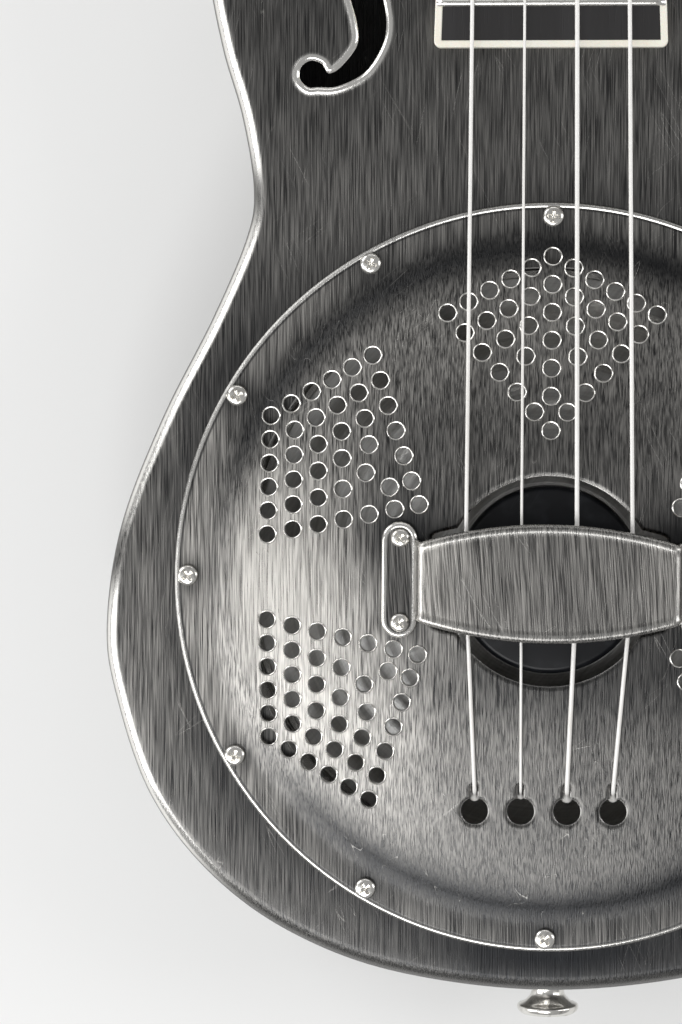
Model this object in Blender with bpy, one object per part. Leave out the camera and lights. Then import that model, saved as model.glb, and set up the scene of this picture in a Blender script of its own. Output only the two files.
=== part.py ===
"""Four-string resonator ukulele with a sheet-metal body, a spun cone and open-geared tuners.

The instrument lies on its back: +X is right as seen from the front, +Y runs to the headstock and +Z
comes out of the face. Lengths here are in millimetres and angles in degrees; MM turns them into metres.
Inside the "instrument" empty, y = 0 is the middle of the coverplate and z = 0 is the back of the body.
"""

import math

import bmesh
import bpy
from mathutils import Matrix, Vector
from mathutils.geometry import delaunay_2d_cdt

MM = 0.001
GAP = 0.3  # clearance between two pieces that rest on each other

# Body
BODY_DEPTH = 60.0
SHEET = 1.0
EDGE_RADIUS = 4.0
EDGE_STEPS = 3
OUTLINE_STEPS = 2
HALF_OUTLINE = (  # right half, from the tail to the neck
    (0.0, -104.1), (37.8, -99.9), (65.0, -89.9), (85.5, -74.9), (100.5, -54.9), (109.0, -29.9),
    (111.4, -12.0), (107.5, 13.0), (97.0, 40.0), (84.3, 65.0), (75.8, 85.0), (74.0, 97.0),
    (76.8, 115.0), (81.8, 132.5), (85.0, 152.0), (82.5, 170.0), (70.0, 184.0), (48.0, 190.0), (0.0, 190.5),
)
TAIL_Y = -104.1
SHOULDER_Y = 190.5
F_HOLE_CENTRE = (46.8, 150.0)
F_HOLE_INNER = ((-3.1, -4.9), (-1.2, -12.1), (-1.2, -17.4), (-5.1, -22.6), (-8.2, -24.25))
F_HOLE_OUTER = ((-6.1, -27.5), (0.7, -24.1), (4.9, -17.9), (6.1, -12.1), (5.05, -4.9))
F_HOLE_LOBE = (-12.2, -24.5)
F_HOLE_LOBE_RADIUS = 3.4

# Resonator
ROUND_SIDES = 36
WELL_RADIUS = 77.5
WELL_WALL = 1.0
WELL_FLANGE = 6.5
WELL_LEDGE = 7.5
CONE_RIM_Z = 36.5
CONE_RIM_RADIUS = 75.5
CONE_SHEET = 0.7
CONE_TOP_Z = 56.7
BISCUIT_RADIUS = 23.5
BISCUIT_HEIGHT = 6.0

# Coverplate
PLATE_RADIUS = 93.75
PLATE_SHEET = 0.8
PLATE_TURN = -0.5
FLANGE_INNER = 86.0
DOME_RADIUS = 83.0
STEP_RISE = 1.0
DOME_RISE = 5.5
PLATE_SCREW_CIRCLE = 90.3
PLATE_SCREWS = 12
SCREW_HOLE = 1.7
VENT_RADIUS = 2.05
VENT_SIDES = 6
VENT_FIELDS = (90, 150, 210, 330, 30)
VENT_ROWS = (6, 5, 4, 3, 2, 2, 1)
VENT_TOP = 80.4
VENT_PITCH = 6.9
VENT_POINT = 37.4
VENT_EDGE = ((25.9, 66.2), (4.1, 42.0))
OPENING_RADIUS = 26.2
OPENING_EAR = (29.0, 11.5, 13.0)
KEYHOLES_X = (-18.4, -6.9, 4.6, 16.1)
KEYHOLE_Y = -57.7
KEYHOLE_RADIUS = 3.4
KEYHOLE_SLOT = 1.6
KEYHOLE_SLOT_END = -50.9

# Hand rest
REST_HALF_LENGTH = 31.9
REST_HALF_WIDTH_END = 10.0
REST_HALF_WIDTH_MIDDLE = 14.7
REST_TOP_Z = 76.0
REST_SHEET = 1.2
FOOT_INNER = 33.4
FOOT_OUTER = 41.3
FOOT_HALF_WIDTH = 14.5
FOOT_SCREW = (36.9, 10.5)

# Neck, fretboard and strings
SCALE_LENGTH = 381.0
FRETS = 17
BOARD_END_Y = 131.7
BOARD_END_WIDTH = 57.5
NUT_WIDTH = 40.0
BOARD_THICKNESS = 5.5
BINDING_WIDTH = 1.8
FRET_WIDTH = 2.0
FRET_HEIGHT = 1.0
NUT_LENGTH = 3.7
NECK_DEPTH = 18.0
HEEL_DEPTH = 46.0
HEEL_LENGTH = 46.0
STICK_WIDTH = 22.0
STICK_BOTTOM_Z = 14.0
STICK_HEIGHT = 20.0
SADDLE_TOP_Z = 71.2
SADDLE_HALF_LENGTH = 26.0
SADDLE_THICKNESS = 2.8
NUT_TOP_Z = 67.6
NOTCH_DEPTH = 1.2
STRING_NAMES = ("g", "c", "e", "a")
STRING_DIAMETERS = (1.0, 0.7, 1.15, 1.05)
SADDLE_SPREAD = 41.2
NUT_SPREAD = 34.0
STRING_SIDES = 1  # bevel resolution: six sides

# Headstock and tuners
HEAD_TILT = 12.0
HEAD_LENGTH = 118.0
HEAD_HALF_WIDTH = 31.0
HEAD_THICKNESS = 14.0
POST_X = 18.0
POST_Y = (34.0, 74.0)
POST_RADIUS = 3.0
POST_WAIST = 2.6
POST_STUB = 1.5
POST_TOP = 16.0
WRAP_TOP = 11.3
WRAPS = 2.25
WRAP_STEPS = 9
BORE_RADIUS = 4.8
TUNER_PLATE = 1.0
TEETH = 14
GEAR_PITCH_RADIUS = 3.5
WORM_PITCH_RADIUS = 2.0
ADDENDUM = 0.35
DEDENDUM = 0.65
GEAR_WIDTH = 2.2
WORM_DROP = 18.0
WORM_TURNS = 5
WORM_STEPS = 8
TOOTH_TIP_HALF = 0.16
TOOTH_ROOT_HALF = 0.34
LUG_X = 5.9
LUG_THICKNESS = 1.2
BUTTON_X = 16.0
BUTTON_FLATNESS = 0.62

# Strap button
STRAP_Z = 24.0
STRAP_LENGTH = 11.5
STRAP_BORE = 2.3
STRAP_RECESS_RADIUS = 4.5
STRAP_RECESS = 2.2

FINISHES = {  # colour, metallic, roughness
    "antique_nickel": ((0.18, 0.18, 0.18), 1.0, 0.38),
    "bright_nickel": ((0.62, 0.61, 0.58), 1.0, 0.2),
    "spun_aluminium": ((0.72, 0.72, 0.72), 1.0, 0.3),
    "black_lacquer": ((0.02, 0.02, 0.022), 0.0, 0.3),
    "maple": ((0.62, 0.45, 0.26), 0.0, 0.5),
    "mahogany": ((0.16, 0.06, 0.03), 0.0, 0.35),
    "blackwood": ((0.03, 0.026, 0.024), 0.0, 0.45),
    "ivory_plastic": ((0.85, 0.82, 0.72), 0.0, 0.35),
    "nylon": ((0.9, 0.9, 0.88), 0.0, 0.25),
    "brass": ((0.7, 0.5, 0.2), 1.0, 0.3),
}


def clear_scene():
    """Empties the scene of its objects."""
    for item in list(bpy.data.objects):
        bpy.data.objects.remove(item, do_unlink=True)


def finish(name):
    """The Principled material of that name, made on first use."""
    material = bpy.data.materials.get(name)
    if material is None:
        colour, metallic, roughness = FINISHES[name]
        material = bpy.data.materials.new(name)
        material.use_nodes = True
        shader = material.node_tree.nodes["Principled BSDF"]
        shader.inputs["Base Color"].default_value = (*colour, 1.0)
        shader.inputs["Metallic"].default_value = metallic
        shader.inputs["Roughness"].default_value = roughness
    return material


def add_empty(name, parent=None, location=(0, 0, 0), tilt=0.0):
    """An empty that carries other objects, tilted about X."""
    empty = bpy.data.objects.new(name, None)
    empty.empty_display_size = 0.02
    empty.location = Vector(location) * MM
    empty.rotation_euler = (math.radians(tilt), 0, 0)
    empty.parent = parent
    bpy.context.scene.collection.objects.link(empty)
    return empty


def make_mesh(name, points, faces, closed=True):
    """A mesh from points in millimetres; a closed one gets its faces turned outwards."""
    mesh = bpy.data.meshes.new(name)
    mesh.from_pydata([Vector(p) * MM for p in points], [], faces)
    work = bmesh.new()
    work.from_mesh(mesh)
    if closed:
        bmesh.ops.recalc_face_normals(work, faces=work.faces)
    work.to_mesh(mesh)
    work.free()
    return mesh


def add_piece(name, mesh, finish_name, parent, location=(0, 0, 0), turn=(0, 0, 0), crease=35.0):
    """One sub-part, shaded smooth except across its creases."""
    piece = bpy.data.objects.new(name, mesh)
    bpy.context.scene.collection.objects.link(piece)
    piece.location = Vector(location) * MM
    piece.rotation_euler = [math.radians(angle) for angle in turn]
    piece.parent = parent
    if not mesh.materials:
        mesh.materials.append(finish(finish_name))
    mesh.shade_smooth()
    mesh.set_sharp_from_angle(angle=math.radians(crease))
    return piece


def thicken(piece, thickness):
    """Gives a surface its sheet thickness, inwards from its outer face."""
    solidify = piece.modifiers.new("sheet", "SOLIDIFY")
    solidify.thickness = thickness * MM
    solidify.offset = -1.0
    solidify.use_even_offset = True


def combined(name, base, tools, operation):
    """The mesh that a Boolean of a base mesh with tool meshes leaves."""
    body = bpy.data.objects.new(name, base)
    bpy.context.scene.collection.objects.link(body)
    helpers = []
    for tool in tools:
        helper = bpy.data.objects.new(name + "_tool", tool)
        bpy.context.scene.collection.objects.link(helper)
        helpers.append(helper)
        boolean = body.modifiers.new("boolean", "BOOLEAN")
        boolean.operation = operation
        boolean.solver = "EXACT"
        boolean.object = helper
    evaluated = body.evaluated_get(bpy.context.evaluated_depsgraph_get())
    mesh = bpy.data.meshes.new_from_object(evaluated)
    for item in (body, *helpers):
        bpy.data.objects.remove(item, do_unlink=True)
    return mesh


def polar(radius, angle, centre=(0.0, 0.0)):
    """A point on a circle, the angle in degrees."""
    turn = math.radians(angle)
    return (centre[0] + radius * math.cos(turn), centre[1] + radius * math.sin(turn))


def circle(radius, sides, centre=(0.0, 0.0), start=0.0):
    """The corners of a regular polygon."""
    return [polar(radius, start + 360 * i / sides, centre) for i in range(sides)]


def turned(point, angle):
    """A point turned about the coverplate's centre, the angle in degrees."""
    return tuple(Matrix.Rotation(math.radians(angle), 2) @ Vector(point))


def smooth_through(points, steps, closed):
    """Points on a smooth curve through the given ones."""
    count = len(points)
    spans = count if closed else count - 1
    curve = []
    for i in range(spans):
        ends = [i - 1, i, i + 1, i + 2]
        if closed:
            a, b, c, d = (Vector(points[k % count]) for k in ends)
        else:
            a, b, c, d = (Vector(points[min(max(k, 0), count - 1)]) for k in ends)
        for k in range(steps):
            t = k / steps
            curve.append(0.5 * (2 * b + (c - a) * t + (2 * a - 5 * b + 4 * c - d) * t ** 2
                                + (3 * b - a - 3 * c + d) * t ** 3))
    if not closed:
        curve.append(Vector(points[-1]))
    return [tuple(p) for p in curve]


def inside(loop, point):
    """Whether a point lies inside a closed loop."""
    x, y = point
    odd = False
    for (x0, y0), (x1, y1) in zip(loop, loop[1:] + loop[:1]):
        if (y0 > y) != (y1 > y) and x < x0 + (x1 - x0) * (y - y0) / (y1 - y0):
            odd = not odd
    return odd


def cut_sheet(outer, holes, creases=(), extra=()):
    """Triangles of a flat sheet with holes. Returns its points, its faces and each loop's indices."""
    points = []
    edges = []
    spans = []
    for loop in (outer, *holes, *creases):
        first = len(points)
        points.extend(loop)
        spans.append(range(first, len(points)))
        edges.extend((first + i, first + (i + 1) % len(loop)) for i in range(len(loop)))
    points.extend(extra)
    flat, _, faces, origins, _, _ = delaunay_2d_cdt([Vector(p) for p in points], edges, [], 0, 1e-6)
    place = {source: i for i, sources in enumerate(origins) for source in sources}
    boxes = []
    for hole in holes:
        xs = [p[0] for p in hole]
        ys = [p[1] for p in hole]
        boxes.append((min(xs), max(xs), min(ys), max(ys), hole))
    kept = []
    for face in faces:
        x = sum(flat[i][0] for i in face) / len(face)
        y = sum(flat[i][1] for i in face) / len(face)
        blocked = any(x0 < x < x1 and y0 < y < y1 and inside(hole, (x, y)) for x0, x1, y0, y1, hole in boxes)
        if inside(outer, (x, y)) and not blocked:
            kept.append(tuple(face))
    loops = [[place[i] for i in span] for span in spans]
    return [tuple(p) for p in flat], kept, loops


def prism(name, outer, holes, low, high):
    """A closed solid: a flat shape with holes, raised from low to high."""
    flat, faces, loops = cut_sheet(outer, holes)
    count = len(flat)
    points = [(x, y, high) for x, y in flat] + [(x, y, low) for x, y in flat]
    faces = faces + [tuple(count + i for i in reversed(face)) for face in faces]
    for loop in loops:
        for a, b in zip(loop, loop[1:] + loop[:1]):
            faces.append((a, b, count + b, count + a))
    return make_mesh(name, points, faces)


def turned_solid(name, profile, sides, ring=False):
    """A solid of revolution about Z from (radius, height) points; a ring's profile is a closed loop."""
    points = []
    rings = []
    for radius, height in profile:
        first = len(points)
        if radius == 0:
            points.append((0, 0, height))
            rings.append([first] * sides)
        else:
            points.extend((*polar(radius, 360 * i / sides), height) for i in range(sides))
            rings.append(list(range(first, first + sides)))
    pairs = list(zip(rings, rings[1:]))
    if ring:
        pairs.append((rings[-1], rings[0]))
    faces = []
    for lower, upper in pairs:
        for i in range(sides):
            k = (i + 1) % sides
            corners = dict.fromkeys((lower[i], lower[k], upper[k], upper[i]))
            faces.append(tuple(corners))
    return make_mesh(name, points, faces)


def box_mesh(name, low, high):
    """A plain block between two corners."""
    outer = [(low[0], low[1]), (high[0], low[1]), (high[0], high[1]), (low[0], high[1])]
    return prism(name, outer, [], low[2], high[2])


def moved(mesh, matrix):
    """The mesh after a matrix in millimetres, with its faces outwards."""
    matrix = matrix.copy()
    matrix.translation *= MM
    mesh.transform(matrix)
    if matrix.determinant() < 0:
        mesh.flip_normals()
    return mesh


def along_y(mesh, y):
    """A prism that was drawn in X and Z, stood up with its height along Y."""
    return moved(mesh, Matrix.Translation((0, y, 0)) @ Matrix.Rotation(math.pi / 2, 4, "X"))


def body_outline():
    """The body's outer edge, anticlockwise from the tail."""
    left = [(-x, y) for x, y in reversed(HALF_OUTLINE[1:-1])]
    return smooth_through([*HALF_OUTLINE, *left], OUTLINE_STEPS, closed=True)


def inset(loop, distance):
    """The loop moved inwards along its own normals."""
    moved_loop = []
    for before, here, after in zip(loop[-1:] + loop[:-1], loop, loop[1:] + loop[:1]):
        run = (Vector(after) - Vector(before)).normalized()
        moved_loop.append((here[0] - run.y * distance, here[1] + run.x * distance))
    return moved_loop


def f_hole(side):
    """The outline of one f-hole; side is -1 on the left and 1 on the right."""
    lobe = [polar(F_HOLE_LOBE_RADIUS, angle, F_HOLE_LOBE) for angle in (50, 100, 150, 200, 250, 290)]
    half = smooth_through(F_HOLE_INNER, 1, closed=False) + lobe + smooth_through(F_HOLE_OUTER, 1, closed=False)
    whole = half + [(-x, -y) for x, y in half]
    placed = [(x - F_HOLE_CENTRE[0], y + F_HOLE_CENTRE[1]) for x, y in whole]
    return [(-side * x, y) for x, y in placed]


def plate_screw_places():
    """The centres of the screws round the coverplate's flange."""
    return [turned(polar(PLATE_SCREW_CIRCLE, 90 + 360 * i / PLATE_SCREWS), PLATE_TURN)
            for i in range(PLATE_SCREWS)]


def pan_surface(holes):
    """A flat face at z = 0 with its edge rolled down: the outside of the body's top or back."""
    outline = body_outline()
    flat, faces, loops = cut_sheet(inset(outline, EDGE_RADIUS), holes)
    points = [(x, y, 0.0) for x, y in flat]
    inner = loops[0]
    for step in range(1, EDGE_STEPS + 1):
        angle = math.radians(90 * step / EDGE_STEPS)
        drop = EDGE_RADIUS * (1 - math.cos(angle))
        first = len(points)
        points.extend((x, y, -drop) for x, y in inset(outline, EDGE_RADIUS * (1 - math.sin(angle))))
        outer = list(range(first, len(points)))
        for i in range(len(outline)):
            k = (i + 1) % len(outline)
            faces.append((inner[i], outer[i], outer[k], inner[k]))
        inner = outer
    return points, faces


def body_top(parent):
    """The face of the body, open under the coverplate and at both f-holes."""
    holes = [circle(WELL_RADIUS + GAP, ROUND_SIDES), f_hole(-1), f_hole(1)]
    holes += [circle(SCREW_HOLE, 6, centre) for centre in plate_screw_places()]
    points, faces = pan_surface(holes)
    mesh = make_mesh("body_top", points, faces, closed=False)
    piece = add_piece("body_top", mesh, "antique_nickel", parent, (0, 0, BODY_DEPTH))
    thicken(piece, SHEET)


def body_back(parent):
    """The back of the body, a pan that faces down."""
    points, faces = pan_surface([])
    points = [(x, y, -z) for x, y, z in points]
    faces = [tuple(reversed(face)) for face in faces]
    mesh = make_mesh("body_back", points, faces, closed=False)
    thicken(add_piece("body_back", mesh, "antique_nickel", parent), SHEET)


def body_sides(parent):
    """The band between top and back, with the neck stick's window and the strap button's hole."""
    outline = body_outline()
    low = EDGE_RADIUS + GAP
    band = prism("band", outline, [inset(outline, SHEET)], low, BODY_DEPTH - low)
    stick = box_mesh("window", (-STICK_WIDTH / 2 - GAP, SHOULDER_Y - 6, STICK_BOTTOM_Z - GAP),
                     (STICK_WIDTH / 2 + GAP, SHOULDER_Y + 3, STICK_BOTTOM_Z + STICK_HEIGHT + GAP))
    hole = along_y(prism("hole", circle(2.4, 8, (0, STRAP_Z)), [], 0, 8), TAIL_Y + 4)
    mesh = combined("body_sides", band, [stick, hole], "DIFFERENCE")
    add_piece("body_sides", mesh, "antique_nickel", parent)


def sound_well(parent):
    """The soldered-in cup with the ledge that carries the cone."""
    top = BODY_DEPTH - SHEET - GAP
    ledge = CONE_RIM_Z - GAP
    outer = WELL_RADIUS + WELL_WALL
    profile = [(WELL_RADIUS, top), (outer + WELL_FLANGE, top), (outer + WELL_FLANGE, top - WELL_WALL),
               (outer, top - WELL_WALL), (outer, ledge - WELL_WALL),
               (WELL_RADIUS - WELL_LEDGE, ledge - WELL_WALL), (WELL_RADIUS - WELL_LEDGE, ledge),
               (WELL_RADIUS, ledge)]
    add_piece("sound_well", turned_solid("sound_well", profile, ROUND_SIDES, ring=True), "antique_nickel", parent)


def resonator_cone(parent):
    """The spun cone, its point towards the strings, with a flat seat for the biscuit."""
    upper = [(0, CONE_TOP_Z), (BISCUIT_RADIUS - 1, CONE_TOP_Z), (BISCUIT_RADIUS + 2, CONE_TOP_Z - 1.2),
             (67.0, CONE_RIM_Z + 2.2), (71.0, CONE_RIM_Z + CONE_SHEET), (CONE_RIM_RADIUS, CONE_RIM_Z + CONE_SHEET)]
    lower = [(r - (0.35 if r else 0.0), z - CONE_SHEET) for r, z in upper[:-1]]
    profile = upper + [(CONE_RIM_RADIUS, CONE_RIM_Z)] + lower[::-1]
    add_piece("resonator_cone", turned_solid("resonator_cone", profile, ROUND_SIDES), "spun_aluminium", parent)


def biscuit(parent):
    """The wooden disc that the saddle stands on."""
    low = CONE_TOP_Z + GAP
    high = low + BISCUIT_HEIGHT
    profile = [(0, low), (BISCUIT_RADIUS, low), (BISCUIT_RADIUS, high - 1.5), (BISCUIT_RADIUS - 0.5, high - 0.5),
               (BISCUIT_RADIUS - 1.5, high), (0, high)]
    add_piece("biscuit", turned_solid("biscuit", profile, ROUND_SIDES), "black_lacquer", parent)


def string_places(spread):
    """The strings' x at a bridge or nut with that spread between the outer strings."""
    return [spread * (i / 3 - 0.5) for i in range(4)]


def notched_bar(name, half_length, low, high, spread, y, thickness):
    """An upright bar with one string notch for each string, drawn in X and Z."""
    outline = [(-half_length, low), (half_length, low), (half_length, high - 1)]
    for x, diameter in zip(reversed(string_places(spread)), reversed(STRING_DIAMETERS)):
        half = diameter / 2 + GAP
        outline += [(x + half + 0.4, high), (x + half, high - NOTCH_DEPTH), (x - half, high - NOTCH_DEPTH),
                    (x - half - 0.4, high)]
    outline.append((-half_length, high - 1))
    return along_y(prism(name, outline, [], 0, thickness), y + thickness)


def saddle(parent):
    """The notched bridge strip on the biscuit."""
    low = CONE_TOP_Z + GAP + BISCUIT_HEIGHT + GAP
    mesh = notched_bar("saddle", SADDLE_HALF_LENGTH, low, SADDLE_TOP_Z, SADDLE_SPREAD,
                       -SADDLE_THICKNESS / 2, SADDLE_THICKNESS)
    add_piece("saddle", mesh, "maple", parent)


def plate_height(x, y):
    """The coverplate's top surface at a point: flange, step and dome."""
    radius = math.hypot(x, y)
    flange = BODY_DEPTH + GAP + PLATE_SHEET
    if radius >= FLANGE_INNER:
        return flange
    if radius >= DOME_RADIUS:
        return flange + STEP_RISE * (FLANGE_INNER - radius) / (FLANGE_INNER - DOME_RADIUS)
    return flange + STEP_RISE + DOME_RISE * (1 - (radius / DOME_RADIUS) ** 2)


def vent_places():
    """The centres of the coverplate's round vents: kite-shaped fields of rows about a centre column."""
    places = []
    (edge_x, edge_y), (last_x, last_y) = VENT_EDGE
    rows = len(VENT_ROWS)
    for row, count in enumerate(VENT_ROWS):
        if row == rows - 1:
            middle = VENT_POINT
            edge = (0.0, VENT_POINT)
        else:
            share = row / (rows - 2)
            middle = VENT_TOP - VENT_PITCH * row
            edge = (edge_x + (last_x - edge_x) * share, edge_y + (last_y - edge_y) * share)
        for k in range(count):
            t = k / (count - 1) if count > 1 else 0.0
            x = edge[0] * t
            y = middle + (edge[1] - middle) * t
            places.append((x, y))
            if x > 0:
                places.append((-x, y))
    return [turned(place, field - 90 + PLATE_TURN) for field in VENT_FIELDS for place in places]


def plate_opening():
    """The round opening over the biscuit, with an ear on each side for the saddle's ends."""
    ear_x, ear_low, ear_high = OPENING_EAR
    start = math.degrees(math.asin(ear_high / OPENING_RADIUS))
    steps = 8
    arc = [polar(OPENING_RADIUS, start + (180 - 2 * start) * i / steps) for i in range(steps + 1)]
    upper = [(ear_x, ear_low), *arc, (-ear_x, ear_low)]
    return upper + [(-x, -y) for x, y in upper]


def keyhole(x):
    """A round hole with a narrow slot that takes a knotted string."""
    half = KEYHOLE_SLOT / 2
    mouth = math.degrees(math.asin(half / KEYHOLE_RADIUS))
    steps = 8
    arc = [polar(KEYHOLE_RADIUS, 90 + mouth + (360 - 2 * mouth) * i / steps, (x, KEYHOLE_Y))
           for i in range(steps + 1)]
    return arc + [(x + half, KEYHOLE_SLOT_END), (x - half, KEYHOLE_SLOT_END)]


def foot_screw_places():
    """The centres of the hand rest's four screws."""
    x, y = FOOT_SCREW
    return [turned(place, PLATE_TURN) for place in ((x, y), (x, -y), (-x, y), (-x, -y))]


def coverplate(parent):
    """The domed plate over the cone."""
    vents = vent_places()
    holes = [circle(VENT_RADIUS, VENT_SIDES, place) for place in vents]
    holes += [circle(SCREW_HOLE, 6, place) for place in plate_screw_places() + foot_screw_places()]
    holes.append([turned(p, PLATE_TURN) for p in plate_opening()])
    holes += [keyhole(x) for x in KEYHOLES_X]
    creases = [circle(radius, 48) for radius in (FLANGE_INNER, DOME_RADIUS)]
    clear = VENT_RADIUS + 2.0
    extra = []
    for radius, sides in ((76, 30), (60, 24), (45, 18)):
        for place in circle(radius, sides, start=5.0):
            if all(math.dist(place, vent) > clear for vent in vents) and not near_keyhole(place):
                extra.append(place)
    flat, faces, _ = cut_sheet(circle(PLATE_RADIUS, 64), holes, creases, extra)
    points = [(x, y, plate_height(x, y)) for x, y in flat]
    mesh = make_mesh("coverplate", points, faces, closed=False)
    thicken(add_piece("coverplate", mesh, "antique_nickel", parent), PLATE_SHEET)


def near_keyhole(place):
    """Whether a point is close to a string keyhole."""
    return any(math.dist(place, (x, KEYHOLE_Y)) < 9 for x in KEYHOLES_X)


def hand_rest_stations():
    """(x, z, half width) along the strip from the middle of the hand rest to the tip of a foot."""
    foot_z = plate_height(FOOT_INNER - 1.2, 0) + GAP + REST_SHEET
    bow = REST_HALF_WIDTH_MIDDLE - REST_HALF_WIDTH_END
    stations = []
    for share in (0, 0.25, 0.5, 0.75, 0.93):
        stations.append((REST_HALF_LENGTH * share, REST_TOP_Z, REST_HALF_WIDTH_END + bow * (1 - share ** 2)))
    stations.append((REST_HALF_LENGTH, REST_TOP_Z - 0.8, REST_HALF_WIDTH_END))
    stations.append((FOOT_INNER, foot_z, FOOT_HALF_WIDTH - 1.2))
    radius = (FOOT_OUTER - FOOT_INNER) / 2
    for angle in (0, 40, 65, 90):
        turn = math.radians(angle)
        stations.append((FOOT_INNER + radius * (1 + math.sin(turn)) - 0.01, foot_z,
                         FOOT_HALF_WIDTH - radius * (1 - math.cos(turn))))
    return stations


def hand_rest(parent):
    """The bent strip that bridges the saddle, with a foot on each side."""
    half = hand_rest_stations()
    stations = [(-x, z, w) for x, z, w in reversed(half[1:])] + half
    points = []
    for x, z, width in stations:
        points += [(x, -width, z), (x, width, z)]
    faces = [(2 * i, 2 * i + 2, 2 * i + 3, 2 * i + 1) for i in range(len(stations) - 1)]
    mesh = make_mesh("hand_rest", points, faces, closed=False)
    strip = add_piece("hand_rest", mesh, "antique_nickel", None)
    thicken(strip, REST_SHEET)
    solid = bpy.data.meshes.new_from_object(strip.evaluated_get(bpy.context.evaluated_depsgraph_get()))
    bpy.data.objects.remove(strip, do_unlink=True)
    x, y = FOOT_SCREW
    holes = [prism("hole", circle(SCREW_HOLE, 8, place), [], BODY_DEPTH, REST_TOP_Z - 2)
             for place in ((x, y), (x, -y), (-x, y), (-x, -y))]
    mesh = combined("hand_rest", solid, holes, "DIFFERENCE")
    add_piece("hand_rest", mesh, "antique_nickel", parent, turn=(0, 0, PLATE_TURN))


def screw_mesh(name, head_radius, head_height, shank_radius, length):
    """A pan-head screw that points down, its seat at z = 0."""
    profile = [(0, head_height), (head_radius * 0.6, head_height * 0.9), (head_radius * 0.92, head_height * 0.5),
               (head_radius, 0), (shank_radius, 0), (shank_radius, 1 - length), (0, -length)]
    return turned_solid(name, profile, 8)


def coverplate_screws(parent):
    """The screws round the coverplate."""
    mesh = screw_mesh("coverplate_screw", 2.5, 1.7, 1.2, 8.0)
    seat = plate_height(PLATE_RADIUS, 0) + GAP
    for number, (x, y) in enumerate(plate_screw_places(), 1):
        add_piece(f"coverplate_screw_{number:02d}", mesh, "bright_nickel", parent, (x, y, seat))


def hand_rest_screws(parent):
    """The screws in the hand rest's feet."""
    mesh = screw_mesh("hand_rest_screw", 2.35, 1.6, 1.1, 7.0)
    seat = hand_rest_stations()[-1][1] + GAP
    for number, (x, y) in enumerate(foot_screw_places(), 1):
        add_piece(f"hand_rest_screw_{number}", mesh, "bright_nickel", parent, (x, y, seat))


def board_half_width(y):
    """Half the bound fretboard's width at a place along it."""
    share = (y - BOARD_END_Y) / (SCALE_LENGTH - BOARD_END_Y)
    return (BOARD_END_WIDTH + (NUT_WIDTH - BOARD_END_WIDTH) * share) / 2


def fretboard(parent):
    """The blackwood board with its frets."""
    low = BODY_DEPTH + GAP
    high = low + BOARD_THICKNESS
    start = BOARD_END_Y + BINDING_WIDTH + GAP
    side = [(start, low), (start, high)]
    for fret in range(FRETS, 0, -1):
        y = SCALE_LENGTH * 2 ** (-fret / 12)
        side += [(y - FRET_WIDTH / 2, high), (y - FRET_WIDTH / 4, high + FRET_HEIGHT),
                 (y + FRET_WIDTH / 4, high + FRET_HEIGHT), (y + FRET_WIDTH / 2, high)]
    side += [(SCALE_LENGTH, high), (SCALE_LENGTH, low)]
    count = len(side)
    points = []
    for sign in (-1, 1):
        points += [(sign * (board_half_width(y) - BINDING_WIDTH - GAP), y, z) for y, z in side]
    flat, cap, _ = cut_sheet(side[::-1], [])
    order = {tuple(round(c, 4) for c in p): i for i, p in enumerate(side)}
    names = [order[tuple(round(c, 4) for c in p)] for p in flat]
    faces = [tuple(names[i] for i in face) for face in cap]
    faces += [tuple(count + i for i in reversed(face)) for face in faces]
    faces += [(i, (i + 1) % count, count + (i + 1) % count, count + i) for i in range(count)]
    add_piece("fretboard", make_mesh("fretboard", points, faces), "blackwood", parent)


def fretboard_binding(parent):
    """The ivory strip round the fretboard's sides and lower end."""
    low = BODY_DEPTH + GAP
    end = BOARD_END_Y + BINDING_WIDTH
    outer = [(-NUT_WIDTH / 2, SCALE_LENGTH), (-BOARD_END_WIDTH / 2, BOARD_END_Y + 1),
             (-BOARD_END_WIDTH / 2 + 1, BOARD_END_Y), (BOARD_END_WIDTH / 2 - 1, BOARD_END_Y),
             (BOARD_END_WIDTH / 2, BOARD_END_Y + 1), (NUT_WIDTH / 2, SCALE_LENGTH)]
    inner = [(NUT_WIDTH / 2 - BINDING_WIDTH, SCALE_LENGTH), (board_half_width(end) - BINDING_WIDTH, end),
             (BINDING_WIDTH - board_half_width(end), end), (BINDING_WIDTH - NUT_WIDTH / 2, SCALE_LENGTH)]
    mesh = prism("fretboard_binding", outer + inner, [], low, low + BOARD_THICKNESS)
    add_piece("fretboard_binding", mesh, "ivory_plastic", parent)


def nut(parent):
    """The notched nut at the end of the fretboard."""
    mesh = notched_bar("nut", NUT_WIDTH / 2, BODY_DEPTH + GAP, NUT_TOP_Z, NUT_SPREAD,
                       SCALE_LENGTH + GAP, NUT_LENGTH)
    add_piece("nut", mesh, "ivory_plastic", parent)


def head_origin():
    """Where the headstock's face meets the neck."""
    return (0, SCALE_LENGTH + NUT_LENGTH + 2 * GAP, BODY_DEPTH)


def head_matrix():
    """From the headstock's own frame to the instrument's, in millimetres."""
    return Matrix.Translation(head_origin()) @ Matrix.Rotation(math.radians(-HEAD_TILT), 4, "X")


def neck_sections():
    """(y, half width, depth) of the neck from the heel to the headstock."""
    start = SHOULDER_Y + GAP
    sections = []
    for share in (0, 0.25, 0.5, 0.75, 1):
        y = start + HEEL_LENGTH * share
        fall = (1 - share) ** 2
        sections.append((y, board_half_width(y) - 0.3, NECK_DEPTH + (HEEL_DEPTH - NECK_DEPTH) * fall))
    sections.append((SCALE_LENGTH - 15, board_half_width(SCALE_LENGTH - 15) - 0.3, NECK_DEPTH - 1))
    sections.append((SCALE_LENGTH + 4, NUT_WIDTH / 2, NECK_DEPTH))
    return sections


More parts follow.
